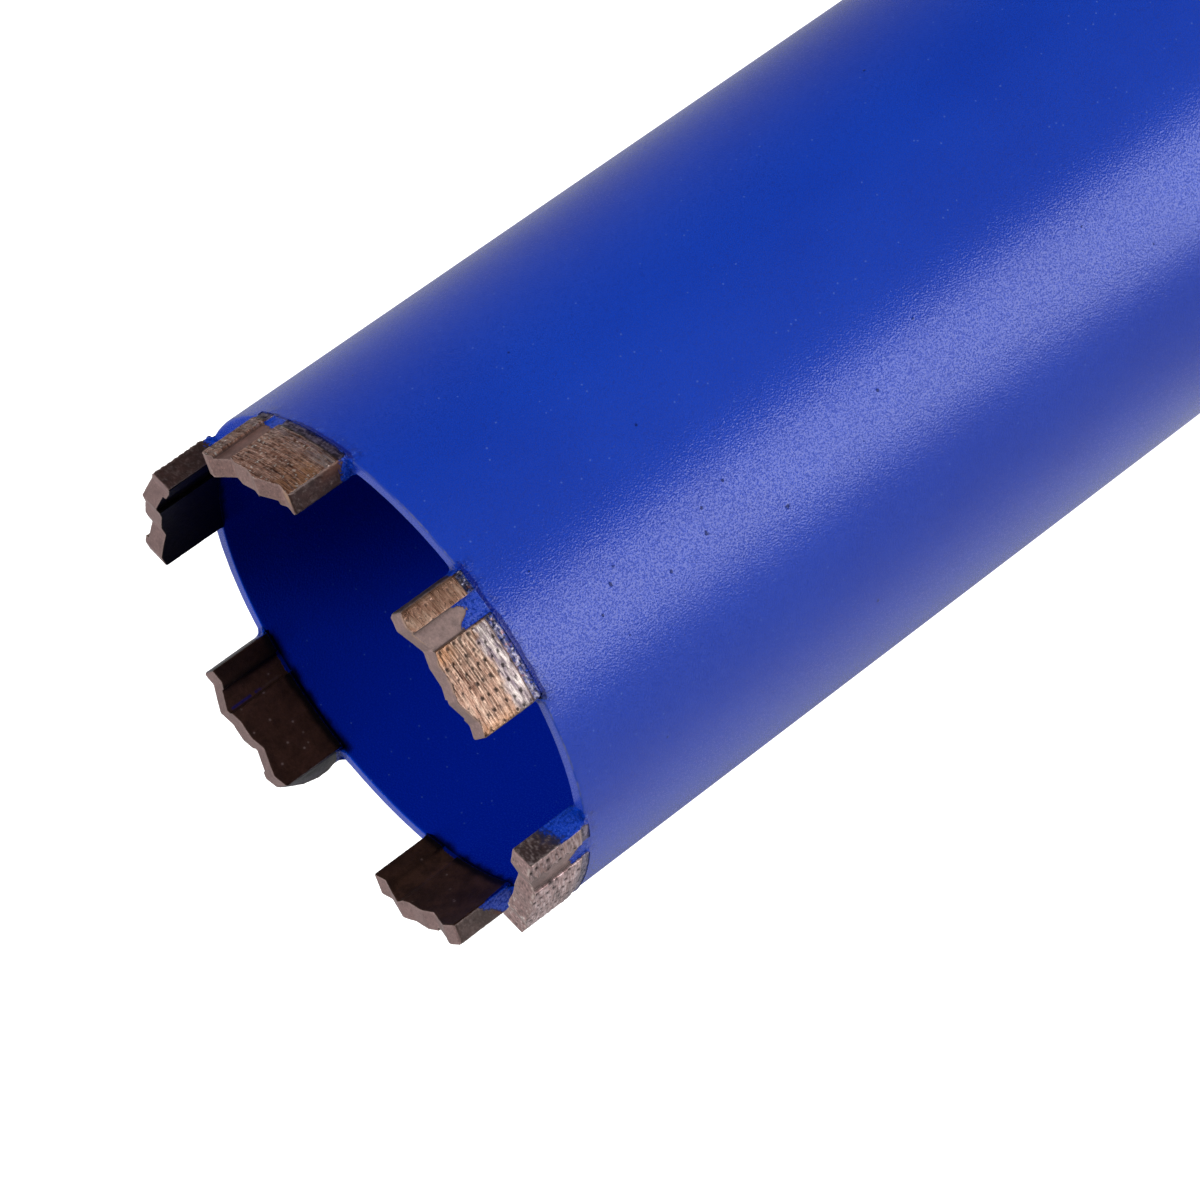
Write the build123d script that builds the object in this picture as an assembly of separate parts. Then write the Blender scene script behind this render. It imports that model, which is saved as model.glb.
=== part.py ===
from build123d import *
import math
import os

os.makedirs("parts", exist_ok=True)

# ---------------------------------------------------------------------------
# Diamond core bit, cut diameter 82 mm, M16 internal connection.
# +Z runs along the tool axis, from the hub to the cutting mouth.
# The origin is the centre of the hub's free end face.  Millimetres.
# ---------------------------------------------------------------------------

# hub
hub_d = 36.0              # boss diameter
hub_len = 20.0            # boss length, hub face to end plate
hub_flats = 32.0          # across the two wrench flats
hub_flat_len = 14.0       # flats run this far up from the hub face
thread_minor_d = 13.84    # M16 x 2 internal thread, minor diameter
thread_lead_in_d = 17.2   # countersink diameter at both ends of the thread
spigot_d = 22.0           # turned spigot that locates in the end plate
spigot_proud = 0.8        # how far the spigot stands through the plate

# barrel
tube_od = 80.0
tube_wall = 2.13
tube_len = 150.0
rim_chamfer = 0.2

# end plate
plate_t = 6.0
plate_chamfer = 0.8

# segments
seg_count = 6
seg_od = 82.0             # ground outer diameter, the cut size
seg_id = 74.5
seg_width = 20.0          # parallel-sided, measured across the tangent
groove_in = 3.2           # near wall of each axial groove, from the middle
groove_out = 6.7          # far wall of each axial groove
groove_outer_depth = 0.65
groove_inner_depth = 0.60
foot_h = 1.35             # diamond-free foot layer next to the barrel
foot_step = 0.22          # the foot is this much under the ground diameter
side_corner_r = 0.35
crown_edge_r = 0.22
# saw-tooth crown: tangential position, height above the barrel rim
crown = [
    (-10.0, 10.20),
    (-7.8, 9.76),
    (-3.8, 11.06),
    (-1.5, 10.42),
    (1.4, 10.42),
    (3.6, 9.78),
    (7.7, 11.06),
    (10.0, 10.46),
]
crown_r = 2.0
# where each segment was set on the rim: the even pitch, plus a fraction of a degree
seg_set_deg = [0.0, -0.45, 0.2, -0.5, 0.35, 0.15]
# the fifth segment's leading end is swollen: outline of its flank at the outer face
swell = [(10.58, 9.05), (11.6, 7.1), (12.12, 4.7), (12.1, 2.8), (11.77, 1.3), (11.75, 0.0)]
swell_top = (9.95, 10.05)

plate_z = hub_len
rim_z = hub_len + tube_len
tube_id = tube_od - 2 * tube_wall


def save(shape, node):
    shape.label = node
    export_step(shape, f"parts/{node}.step")


# --- hub: boss, flats, spigot, threaded bore (bore at the minor diameter) -----
hub = Cylinder(hub_d / 2, hub_len, align=(Align.CENTER, Align.CENTER, Align.MIN))
hub = chamfer(hub.edges().filter_by(GeomType.CIRCLE).group_by(Axis.Z)[0], 1.0)
flat_depth = (hub_d - hub_flats) / 2
for side in (1, -1):
    cut = Pos(side * (hub_flats / 2 + 5), 0, hub_flat_len / 2) * Box(10, 60, hub_flat_len)
    hub -= cut
spigot = Pos(0, 0, hub_len) * Cylinder(
    spigot_d / 2, plate_t + spigot_proud, align=(Align.CENTER, Align.CENTER, Align.MIN)
)
hub += spigot
hub_total = hub_len + plate_t + spigot_proud
hub -= Cylinder(thread_minor_d / 2, hub_total, align=(Align.CENTER, Align.CENTER, Align.MIN))
lead = (thread_lead_in_d - thread_minor_d) / 2
hub -= Cone(thread_lead_in_d / 2, thread_minor_d / 2, lead,
            align=(Align.CENTER, Align.CENTER, Align.MIN))
hub -= Pos(0, 0, hub_total - lead) * Cone(
    thread_minor_d / 2, thread_lead_in_d / 2, lead,
    align=(Align.CENTER, Align.CENTER, Align.MIN))
save(hub, "threaded_hub")

# --- end plate: disc inside the back of the barrel ------------------------------
plate = Pos(0, 0, plate_z) * Cylinder(
    tube_id / 2, plate_t, align=(Align.CENTER, Align.CENTER, Align.MIN))
plate = chamfer(plate.edges().filter_by(GeomType.CIRCLE).group_by(Axis.Z)[0], plate_chamfer)
plate -= Pos(0, 0, plate_z - 1) * Cylinder(
    spigot_d / 2, plate_t + 2, align=(Align.CENTER, Align.CENTER, Align.MIN))
save(plate, "end_plate")

# --- barrel: thin-walled tube, edges just broken at the rim -----------------------
tube = Pos(0, 0, plate_z) * Cylinder(
    tube_od / 2, tube_len, align=(Align.CENTER, Align.CENTER, Align.MIN))
tube -= Pos(0, 0, plate_z - 1) * Cylinder(
    tube_id / 2, tube_len + 2, align=(Align.CENTER, Align.CENTER, Align.MIN))
rim_edges = tube.edges().filter_by(GeomType.CIRCLE).group_by(Axis.Z)
tube = chamfer(rim_edges[-1] + rim_edges[0], rim_chamfer)
save(tube, "barrel_tube")


# --- segments ----------------------------------------------------------------------
def on_arc(r, y):
    return (math.sqrt(r * r - y * y), y)


def arc(r, y0, y1):
    return ThreePointArc(on_arc(r, y0), on_arc(r, (y0 + y1) / 2), on_arc(r, y1))


def plan(r_out):
    """Outline across the tool axis: two arcs, two parallel ends, one groove in each face."""
    w = seg_width / 2
    r_in = seg_id / 2
    g0, g1 = groove_in, groove_out
    r_og = seg_od / 2 - groove_outer_depth
    r_ig = r_in + groove_inner_depth
    parts = [
        arc(r_out, -w, g0),
        Line(on_arc(r_out, g0), on_arc(r_og, g0)),
        arc(r_og, g0, g1),
        Line(on_arc(r_og, g1), on_arc(r_out, g1)),
        arc(r_out, g1, w),
        Line(on_arc(r_out, w), on_arc(r_in, w)),
        arc(r_in, w, -g0),
        Line(on_arc(r_in, -g0), on_arc(r_ig, -g0)),
        arc(r_ig, -g0, -g1),
        Line(on_arc(r_ig, -g1), on_arc(r_in, -g1)),
        arc(r_in, -g1, -w),
        Line(on_arc(r_in, -w), on_arc(r_out, -w)),
    ]
    face = make_face(Wire(parts))
    corners = [v for v in face.vertices() if abs(abs(v.Y) - w) < 1e-6]
    return fillet(corners, side_corner_r)


def make_segment():
    """One segment with its middle on +X, standing on z = 0."""
    w = seg_width / 2
    r_o = seg_od / 2
    top = 14.0
    foot = extrude(plan(r_o - foot_step), amount=foot_h)
    body = Pos(0, 0, foot_h) * extrude(plan(r_o), amount=top - foot_h)
    # saw-tooth crown, straight across the segment's thickness
    line = FilletPolyline(*[(y, h) for y, h in crown], radius=crown_r)
    over = 3.0
    rim = Polyline(crown[-1], (w + over, crown[-1][1]), (w + over, top + 5),
                   (-w - over, top + 5), (-w - over, crown[0][1]), crown[0])
    waste = make_face(line.edges() + rim.edges())
    waste = Pos(r_o - 15, 0, 0) * extrude(Plane.YZ * waste, amount=30)
    body = body - waste
    tops = [e for e in body.edges() if e.center().Z > 9.2
            and abs(e.tangent_at(0.5).Z) < 0.6]
    body = fillet(tops, crown_edge_r)
    return foot + body


def make_swell():
    """Extra metal on one end: flush at the inner face, widest at the outer face."""
    r_o, r_i = seg_od / 2, seg_id / 2
    w = seg_width / 2
    out = Spline(swell_top, *swell)
    back = Polyline(swell[-1], (8.5, 0), (8.5, swell_top[1]), swell_top)
    block = extrude(Plane.YZ * make_face(out.edges() + back.edges()), amount=r_o + 2)
    ring = Cylinder(r_o - 0.02, 20, align=(Align.CENTER, Align.CENTER, Align.MIN))
    ring -= Cylinder(r_i + 0.25, 20, align=(Align.CENTER, Align.CENTER, Align.MIN))
    block = block & ring
    # slant from the end of the inner face out to the widest point of the outer face
    x0, y0 = math.sqrt(r_i ** 2 - w ** 2), w - 0.1
    y1 = swell[2][0]
    x1 = math.sqrt((r_o - 0.02) ** 2 - y1 ** 2)
    lean = (y1 - y0) / (x1 - x0)
    wedge = make_face(Polyline((x0 - 2, y0 - 2 * lean), (x1 + 3, y1 + 3 * lean),
                               (x1 + 3, 30), (x0 - 2, 30), close=True).edges())
    return block - extrude(wedge, amount=20)


segment = make_segment()
for k in range(seg_count):
    shape = segment + make_swell() if k == 4 else segment
    turn = 360.0 / seg_count * k + seg_set_deg[k]
    s = Pos(0, 0, rim_z) * Rot(0, 0, turn) * shape
    if isinstance(s, Compound) and len(s.solids()) == 1:
        s = s.solids()[0]
    save(s, f"segment_{k + 1}")
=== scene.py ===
import math

import bpy
import numpy as np
from mathutils import Matrix, Vector


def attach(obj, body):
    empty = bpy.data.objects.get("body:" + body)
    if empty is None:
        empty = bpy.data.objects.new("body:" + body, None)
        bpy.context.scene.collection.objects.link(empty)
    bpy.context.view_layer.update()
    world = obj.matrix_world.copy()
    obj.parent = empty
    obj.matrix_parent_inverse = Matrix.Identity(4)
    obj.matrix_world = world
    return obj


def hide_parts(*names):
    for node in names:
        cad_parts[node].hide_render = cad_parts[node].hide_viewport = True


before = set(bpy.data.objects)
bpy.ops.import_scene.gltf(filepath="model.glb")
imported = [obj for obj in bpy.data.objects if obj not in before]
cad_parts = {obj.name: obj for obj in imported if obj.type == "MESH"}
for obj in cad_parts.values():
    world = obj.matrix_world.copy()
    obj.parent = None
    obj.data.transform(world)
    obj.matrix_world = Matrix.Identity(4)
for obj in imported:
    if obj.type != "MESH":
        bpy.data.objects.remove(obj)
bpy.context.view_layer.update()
scene = bpy.context.scene
MM = 0.001

# ------------------------------------------------------------------ sizes, millimetres (as in the CAD source)
RIM_Z = 170.0
PLATE_Z = 20.0
TUBE_RO, TUBE_RI = 40.0, 37.87
SEG_RO, SEG_RI, SEG_T = 41.0, 37.25, 3.75
SEG_W = 10.0                      # half width
GR_IN, GR_OUT = 3.2, 6.7
GR_O_DEPTH, GR_I_DEPTH = 0.65, 0.60
FOOT_H, FOOT_STEP = 1.35, 0.22
CROWN = [(-10.0, 10.20), (-7.8, 9.76), (-3.8, 11.06), (-1.5, 10.42), (1.4, 10.42), (3.6, 9.78), (7.7, 11.06), (10.0, 10.46)]
SET_DEG = [0.0, -0.45, 0.2, -0.5, 0.35, 0.15]
SWELL = [(10.05, 9.95), (9.05, 10.58), (7.1, 11.6), (4.7, 12.12), (2.8, 12.1), (1.3, 11.77), (0.0, 11.75)]  # height, reach


# ------------------------------------------------------------------ noise
_tables = {}


def vnoise(x, y, seed):
    t = _tables.get(seed)
    if t is None:
        t = _tables[seed] = np.random.default_rng(seed).random((256, 256))
    xi, yi = np.floor(x).astype(int), np.floor(y).astype(int)
    fx, fy = x - xi, y - yi
    fx, fy = fx * fx * (3 - 2 * fx), fy * fy * (3 - 2 * fy)
    x0, x1, y0, y1 = xi & 255, (xi + 1) & 255, yi & 255, (yi + 1) & 255
    return (t[x0, y0] * (1 - fx) + t[x1, y0] * fx) * (1 - fy) + (t[x0, y1] * (1 - fx) + t[x1, y1] * fx) * fy


def fbm(x, y, seed, octaves=3, gain=0.5):
    total, norm, amp = 0.0, 0.0, 1.0
    for o in range(octaves):
        total = total + amp * vnoise(x * 2 ** o + 17.3 * o, y * 2 ** o + 5.1 * o, seed + 31 * o)
        norm += amp
        amp *= gain
    return total / norm


def sstep(a, b, x):
    t = np.clip((np.asarray(x, float) - a) / (b - a), 0, 1)
    return t * t * (3 - 2 * t)


def gauss(x, s):
    return np.exp(-0.5 * (x / s) ** 2)


# ------------------------------------------------------------------ mesh helpers
def make_mesh(name, verts_mm, quads, attrs=None, smooth=True, tris=None):
    faces = [tuple(int(i) for i in q) for q in quads]
    if tris is not None:
        faces += [tuple(int(i) for i in t) for t in tris]
    me = bpy.data.meshes.new(name)
    me.from_pydata((np.asarray(verts_mm, float) * MM).tolist(), [], faces)
    me.validate()
    me.update()
    if smooth:
        me.polygons.foreach_set("use_smooth", np.ones(len(me.polygons), bool))
    for key, val in (attrs or {}).items():
        val = np.asarray(val, np.float32)
        if val.ndim == 2:
            a = me.attributes.new(key, "FLOAT_VECTOR", "POINT")
            a.data.foreach_set("vector", val.ravel())
        else:
            a = me.attributes.new(key, "FLOAT", "POINT")
            a.data.foreach_set("value", val)
    ob = bpy.data.objects.new(name, me)
    scene.collection.objects.link(ob)
    return ob


def grid_quads(idx, flip=False):
    a, b, c, d = idx[:-1, :-1], idx[1:, :-1], idx[1:, 1:], idx[:-1, 1:]
    q = np.stack([a, b, c, d], -1).reshape(-1, 4)
    return q[:, ::-1] if flip else q


def sharp_by_angle(ob, deg=34):
    me = ob.data
    n = len(me.polygons)
    normals = np.zeros(n * 3, np.float32)
    me.polygons.foreach_get("normal", normals)
    normals = normals.reshape(-1, 3)
    loops = np.zeros(len(me.loops), np.int64)
    me.loops.foreach_get("edge_index", loops)
    tot = np.zeros(n, np.int64)
    me.polygons.foreach_get("loop_total", tot)
    owner = np.repeat(np.arange(n), tot)
    order = np.argsort(loops, kind="stable")
    le, ow = loops[order], owner[order]
    same = le[1:] == le[:-1]
    e, p, q = le[1:][same], ow[1:][same], ow[:-1][same]
    bad = (normals[p] * normals[q]).sum(1) < math.cos(math.radians(deg))
    flags = np.zeros(len(me.edges), bool)
    flags[e[bad]] = True
    attr = me.attributes.get("sharp_edge") or me.attributes.new("sharp_edge", "BOOLEAN", "EDGE")
    attr.data.foreach_set("value", flags)


def revolve(name, rows, n_theta, attrs_fn=None, angles=None):
    """rows: function or array giving (r, z) for every profile point; closed loop of profile points."""
    th = np.linspace(0, 2 * np.pi, n_theta, endpoint=False) if angles is None else np.asarray(angles)
    r, z = rows(th) if callable(rows) else (np.repeat(rows[:, :1], len(th), 1), np.repeat(rows[:, 1:2], len(th), 1))
    x, y = r * np.cos(th)[None, :], r * np.sin(th)[None, :]
    verts = np.stack([x, y, z], -1).reshape(-1, 3)
    m, n = r.shape
    idx = np.arange(m * n).reshape(m, n)
    idx = np.concatenate([idx, idx[:1]], 0)
    idx = np.concatenate([idx, idx[:, :1]], 1)
    quads = grid_quads(idx, flip=True)
    ob = make_mesh(name, verts, quads, attrs_fn(verts) if attrs_fn else None)
    return ob


# ------------------------------------------------------------------ node helpers
class Net:
    def __init__(self, name):
        self.mat = bpy.data.materials.new(name)
        self.mat.use_nodes = True
        self.nt = self.mat.node_tree
        self.nt.nodes.clear()
        self.out = self.node("ShaderNodeOutputMaterial")

    def node(self, kind, **props):
        n = self.nt.nodes.new(kind)
        for k, v in props.items():
            setattr(n, k, v)
        return n

    def put(self, value, socket):
        if isinstance(value, bpy.types.NodeSocket):
            self.nt.links.new(value, socket)
        elif value is not None:
            if isinstance(value, (tuple, list)) and len(value) == 3 and socket.type == "RGBA":
                value = (*value, 1.0)
            socket.default_value = value

    def attr(self, name, vector=False):
        n = self.node("ShaderNodeAttribute", attribute_type="GEOMETRY", attribute_name=name)
        return n.outputs["Vector"] if vector else n.outputs["Fac"]

    def obj(self):
        return self.node("ShaderNodeTexCoord").outputs["Object"]

    def scale(self, vec, by):
        n = self.node("ShaderNodeVectorMath", operation="MULTIPLY")
        self.put(vec, n.inputs[0])
        self.put(by, n.inputs[1])
        return n.outputs["Vector"]

    def noise(self, vec, scale, detail=2.0, rough=0.5, distort=0.0):
        n = self.node("ShaderNodeTexNoise")
        self.put(vec, n.inputs["Vector"])
        n.inputs["Scale"].default_value = scale
        n.inputs["Detail"].default_value = detail
        n.inputs["Roughness"].default_value = rough
        n.inputs["Distortion"].default_value = distort
        return n.outputs["Fac"]

    def voronoi(self, vec, scale, feature="F1", random=1.0, out="Distance"):
        n = self.node("ShaderNodeTexVoronoi", feature=feature)
        self.put(vec, n.inputs["Vector"])
        n.inputs["Scale"].default_value = scale
        n.inputs["Randomness"].default_value = random
        return n.outputs[out]

    def remap(self, v, a, b, c=0.0, d=1.0, smooth=True):
        n = self.node("ShaderNodeMapRange", interpolation_type="SMOOTHSTEP" if smooth else "LINEAR")
        self.put(v, n.inputs["Value"])
        for k, x in (("From Min", a), ("From Max", b), ("To Min", c), ("To Max", d)):
            n.inputs[k].default_value = x
        return n.outputs["Result"]

    def math(self, op, a, b=None):
        n = self.node("ShaderNodeMath", operation=op)
        self.put(a, n.inputs[0])
        if b is not None:
            self.put(b, n.inputs[1])
        return n.outputs[0]

    def mix(self, f, a, b, blend="MIX"):
        n = self.node("ShaderNodeMix", data_type="RGBA", blend_type=blend)
        self.put(f, n.inputs["Factor"])
        self.put(a, n.inputs["A"] if False else n.inputs[6])
        self.put(b, n.inputs[7])
        return n.outputs[2]

    def mixf(self, f, a, b):
        n = self.node("ShaderNodeMix", data_type="FLOAT")
        self.put(f, n.inputs[0])
        self.put(a, n.inputs[2])
        self.put(b, n.inputs[3])
        return n.outputs[0]

    def ramp(self, f, stops):
        n = self.node("ShaderNodeValToRGB")
        self.put(f, n.inputs["Fac"])
        el = n.color_ramp.elements
        while len(el) > 2:
            el.remove(el[-1])
        for i, (p, c) in enumerate(stops):
            e = el[i] if i < 2 else el.new(p)
            e.position = p
            e.color = (*c, 1.0)
        return n.outputs["Color"]

    def bump(self, h, distance, strength=1.0, normal=None):
        n = self.node("ShaderNodeBump")
        n.inputs["Strength"].default_value = strength
        n.inputs["Distance"].default_value = distance
        self.put(h, n.inputs["Height"])
        if normal is not None:
            self.put(normal, n.inputs["Normal"])
        return n.outputs["Normal"]

    def principled(self, **inputs):
        n = self.node("ShaderNodeBsdfPrincipled")
        for k, v in inputs.items():
            self.put(v, n.inputs[k.replace("_", " ")])
        self.nt.links.new(n.outputs["BSDF"], self.out.inputs["Surface"])
        return n


PAINT = (0.0011, 0.037, 0.410)


def polar(radius, deg, z):
    a = math.radians(deg)
    return (radius * math.cos(a) * MM, radius * math.sin(a) * MM, z * MM)


def paint_height(n, co):
    """Fine grain of a thick sprayed coat, as a height from 0 to 1."""
    return n.noise(co, 3900.0, 0.4, 0.6)


# dust nibs in the coat: azimuth in degrees, height and radius in mm
NIBS = [(54.8, 153.5, 0.42), (46.5, 125.2, 0.55), (51.9, 137.8, 0.55), (57.0, 64.6, 0.34), (50.9, 156.7, 0.34), (57.2, 151.9, 0.36),
        (65.9, 162.2, 0.26), (49.9, 145.0, 0.27), (56.4, 136.6, 0.33), (44.4, 154.6, 0.28), (48.0, 110.5, 0.30), (126.3, 158.2, 0.25),
        (58.4, 131.8, 0.28), (45.1, 78.0, 0.25), (13.5, 116.0, 0.40)]


def paint_material(name, grain=1.0):
    n = Net(name)
    co = n.obj()
    h = paint_height(n, co)
    fuzz, soot, inside, worn = n.attr("fuzz"), n.attr("soot"), n.attr("inside"), n.attr("worn")
    cloud = n.noise(co, 38.0, 3.0, 0.5)
    micro = n.noise(co, 4300.0, 0.0, 0.5)
    froth = n.noise(co, 1300.0, 3.0, 0.65)
    col = n.mix(n.remap(cloud, 0.3, 0.7, 0.0, 1.0), (0.0009, 0.034, 0.395), (0.0014, 0.040, 0.430))
    col = n.mix(n.remap(micro, 0.52, 0.72, 0.0, 0.30), col, (0.0004, 0.014, 0.19))
    col = n.mix(inside, col, (0.0006, 0.0175, 0.40))
    # dust specks, sparse
    cell = n.voronoi(co, 210.0, "F1", 1.0)
    seed = n.voronoi(co, 210.0, "F1", 1.0, "Color")
    sep = n.node("ShaderNodeSeparateColor")
    n.put(seed, sep.inputs[0])
    speck = n.math("MULTIPLY", n.remap(cell, 0.035, 0.070, 1.0, 0.0), n.remap(sep.outputs[0], 0.80, 0.82, 0.0, 1.0))
    for deg, z, rad in NIBS:
        d = n.node("ShaderNodeVectorMath", operation="DISTANCE")
        n.put(co, d.inputs[0])
        d.inputs[1].default_value = polar(TUBE_RO, deg, z)
        ragged = n.math("ADD", d.outputs["Value"], n.math("MULTIPLY", n.math("SUBTRACT", froth, 0.5), 0.0012))
        speck = n.math("MAXIMUM", speck, n.remap(ragged, rad * 0.28 * MM, rad * 0.72 * MM, 1.0, 0.0))
    col = n.mix(n.math("MULTIPLY", speck, 0.85), col, (0.0010, 0.008, 0.085))
    # pale dust in the coat
    dust = n.voronoi(co, 640.0, "F1", 1.0)
    sepd = n.node("ShaderNodeSeparateColor")
    n.put(n.voronoi(co, 640.0, "F1", 1.0, "Color"), sepd.inputs[0])
    pale = n.math("MULTIPLY", n.remap(dust, 0.050, 0.120, 1.0, 0.0), n.remap(sepd.outputs[1], 0.55, 0.57))
    col = n.mix(n.math("MULTIPLY", pale, 0.34), col, (0.14, 0.24, 0.66))
    # frothy, spattered coat by the joints; its pale flecks are partly painted glints
    col = n.mix(n.math("MULTIPLY", fuzz, n.remap(froth, 0.40, 0.60, 0.75, 0.0)), col, (0.0006, 0.010, 0.13))
    col = n.mix(n.math("MULTIPLY", fuzz, n.remap(froth, 0.58, 0.70, 0.0, 0.55)), col, (0.10, 0.20, 0.60))
    col = n.mix(n.math("MULTIPLY", worn, n.remap(froth, 0.36, 0.60, 0.25, 0.85)), col, (0.16, 0.16, 0.19))
    # painted shade: the deep attribute darkens the coat under the feet's overhang and in the fillets' corners
    col = n.mix(n.attr("deep"), col, (0.0007, 0.0085, 0.175))
    col = n.mix(n.attr("dull"), col, n.mix(0.45, col, (0.050, 0.075, 0.22)))
    # painted shade at the joints: the coat drawn near black
    col = n.mix(soot, col, (0.0006, 0.0006, 0.003))
    rough = n.mixf(n.remap(micro, 0.35, 0.7), 0.20, 0.30)
    spec = n.mixf(n.remap(micro, 0.36, 0.66), 0.60, 0.29)
    spec = n.mixf(n.math("MAXIMUM", soot, n.math("MULTIPLY", speck, 0.8)), spec, 0.08)
    spec = n.mixf(n.math("MULTIPLY", n.math("MAXIMUM", n.attr("dull"), n.attr("deep")), 0.80), spec, 0.06)
    hh = n.math("ADD", n.math("MULTIPLY", h, grain), n.math("MULTIPLY", speck, 0.7))
    hh = n.math("ADD", hh, n.math("MULTIPLY", n.math("MULTIPLY", froth, fuzz), 4.6))
    nrm = n.bump(hh, 0.000047, 1.0)
    n.principled(Base_Color=col, Roughness=rough, Specular_IOR_Level=spec, Normal=nrm)
    return n.mat


# ------------------------------------------------------------------ the barrel
TH_N = 480
seg_mid = [60.0 * k + SET_DEG[k] for k in range(6)]


def near_feet(theta_deg, reach):
    """1 beside the ends of the segments' feet, falling to 0 over `reach` mm."""
    w = np.zeros_like(theta_deg)
    for k, a in enumerate(seg_mid):
        d = (theta_deg - a + 180.0) % 360.0 - 180.0
        arc = np.radians(d) * TUBE_RO
        plus = 11.8 if k == 4 else 10.2
        w = np.maximum(w, np.exp(-((arc - plus) / reach) ** 2))
        w = np.maximum(w, np.exp(-((arc + 10.2) / reach) ** 2))
    return w


def tube_rows(th):
    deg = np.degrees(th)
    zo = np.concatenate([[20.0, 20.05, 20.2, 21.0], np.linspace(26, 158, 12), np.linspace(162, 169.2, 26),
                         [169.4, 169.55, 169.7, 169.78]])
    prof = [(TUBE_RO - (0.2 if z < 20.04 else (0.1 if z < 20.1 else 0.0)), z) for z in zo]
    prof += [(39.985, 169.86), (39.95, 169.92), (39.9, 169.965), (39.84, 169.99), (39.76, 170.0)]
    for r in (39.5, 39.2, 38.9, 38.6, 38.35):
        prof.append((r, 170.0))
    prof += [(38.12, 170.0), (38.03, 169.99), (37.96, 169.96), (37.91, 169.91), (37.88, 169.84), (37.87, 169.75)]
    zi = np.concatenate([np.linspace(169.4, 164, 12), np.linspace(160, 30, 12), [21.0, 20.2]])
    prof += [(TUBE_RI, z) for z in zi] + [(TUBE_RI + 0.2, 20.0)]
    p = np.array(prof)
    r = np.repeat(p[:, :1], len(th), 1)
    z = np.repeat(p[:, 1:2], len(th), 1)
    arc = np.repeat((deg * np.pi / 180 * 40.0)[None, :], len(p), 0)
    feet = np.repeat(near_feet(deg, 1.3)[None, :], len(p), 0) * sstep(167.6, 169.6, z)
    # build-up and spatter of paint where the segments were joined on
    lump = fbm(arc * 2.2, z * 2.2 + r, 11, 3) - 0.45
    outer = sstep(38.9, 39.9, r)
    inner = 1 - sstep(37.9, 38.6, r)
    r = r + feet * lump * 0.16 * (outer - inner)
    z = z + feet * np.clip(lump, -0.3, 0.6) * 0.20 * sstep(169.6, 170.0, z)
    # the sawn rim is a little uneven under the paint
    rimw = sstep(169.3, 169.95, z)
    r = r - rimw * outer * 0.05 * fbm(arc * 0.9, z * 0 + 3.0, 12, 3)
    z = z - rimw * 0.035 * fbm(arc * 1.2, r * 1.2, 13, 3)
    return r, z


def foot_gap(deg):
    """Distance in mm round the barrel from the nearest foot (negative inside it), and which foot."""
    best, who = np.full(deg.shape, 99.0), np.zeros(deg.shape, int)
    for k, a in enumerate(seg_mid):
        d = np.radians((deg - a + 180.0) % 360.0 - 180.0) * TUBE_RO
        plus = 11.7 if k == 4 else SEG_W
        g = np.maximum(d - plus, -d - SEG_W)
        who = np.where(g < best, k, who)
        best = np.minimum(best, g)
    return best, who


def tube_attrs(v):
    rad = np.hypot(v[:, 0], v[:, 1])
    deg = np.degrees(np.arctan2(v[:, 1], v[:, 0]))
    gap, who = foot_gap(deg)
    arc = np.radians(deg) * 40.0
    z = v[:, 2]
    outer, inner = sstep(38.9, 39.8, rad), 1 - sstep(37.9, 38.4, rad)
    beside = 1 - sstep(0.2, 2.2, gap + 1.6 * (fbm(arc * 0.8, z * 0.8, 31, 2) - 0.5))
    low = sstep(167.0, 169.6, z + 1.6 * (fbm(arc * 0.7, z * 0.7, 32, 2) - 0.5))
    fuzz = np.clip(beside * low * (0.45 + 0.55 * np.exp(-np.abs(gap) / 1.4)) * np.maximum(outer, 1 - inner), 0, 1)
    ragged = fbm(arc * 0.9, z * 0.9, 34, 3)
    # painted shade: the inner wall just under the feet drawn near black, for the shade at the joint
    soot = inner * (1 - sstep(-0.2, 0.7, gap)) * sstep(168.2, 169.5, z + 1.1 * (ragged - 0.5)) * 0.97
    inside = (1 - sstep(37.9, 38.05, rad)) * (1 - sstep(169.6, 169.95, z))
    worn = sstep(39.80, 39.92, rad) * sstep(169.72, 169.90, z) * sstep(0.35, 0.62, fbm(arc * 0.5, z * 0, 33, 3))
    rim = sstep(39.70, 39.90, rad) * sstep(169.70, 169.88, z)
    flat = sstep(169.93, 169.99, z + 0.05 * (1 - outer)) * sstep(38.0, 38.3, rad)
    worn = np.clip(worn + 0.16 * flat * (0.5 + fbm(arc * 0.6, rad * 1.5, 35, 3)), 0, 1)
    # painted shade: a dark band on the barrel just under the feet, where the overhang shades it
    band = (1 - sstep(0.0, 0.5, gap)) * sstep(169.15, 169.45, z + 0.5 * (ragged - 0.5)) * outer
    band = band * np.where(who == 0, 0.3, 1.0)
    return {"fuzz": fuzz * (1 - 0.7 * band), "soot": soot, "inside": inside, "worn": worn * (1 - band), "dull": rim * (1 - band), "deep": band * 0.95}


tube = revolve("barrel", tube_rows, TH_N, tube_attrs)
sharp_by_angle(tube, 50)


# ------------------------------------------------------------------ segments
def crown_curve():
    y = np.arange(-12, 12.001, 0.02)
    cy, cz = np.array([c[0] for c in CROWN]), np.array([c[1] for c in CROWN])
    lo = cz[0] + (cz[1] - cz[0]) / (cy[1] - cy[0]) * (y - cy[0])
    hi = cz[-1] + (cz[-1] - cz[-2]) / (cy[-1] - cy[-2]) * (y - cy[-1])
    z = np.interp(y, cy, cz)
    z = np.where(y < cy[0], lo, np.where(y > cy[-1], hi, z))
    k = np.ones(15) / 15
    for _ in range(2):
        z = np.convolve(np.pad(z, 7, mode="edge"), k, mode="valid")
    return y, z


_CY, _CZ = crown_curve()


def crown(y):
    return np.interp(y, _CY, _CZ)


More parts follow.
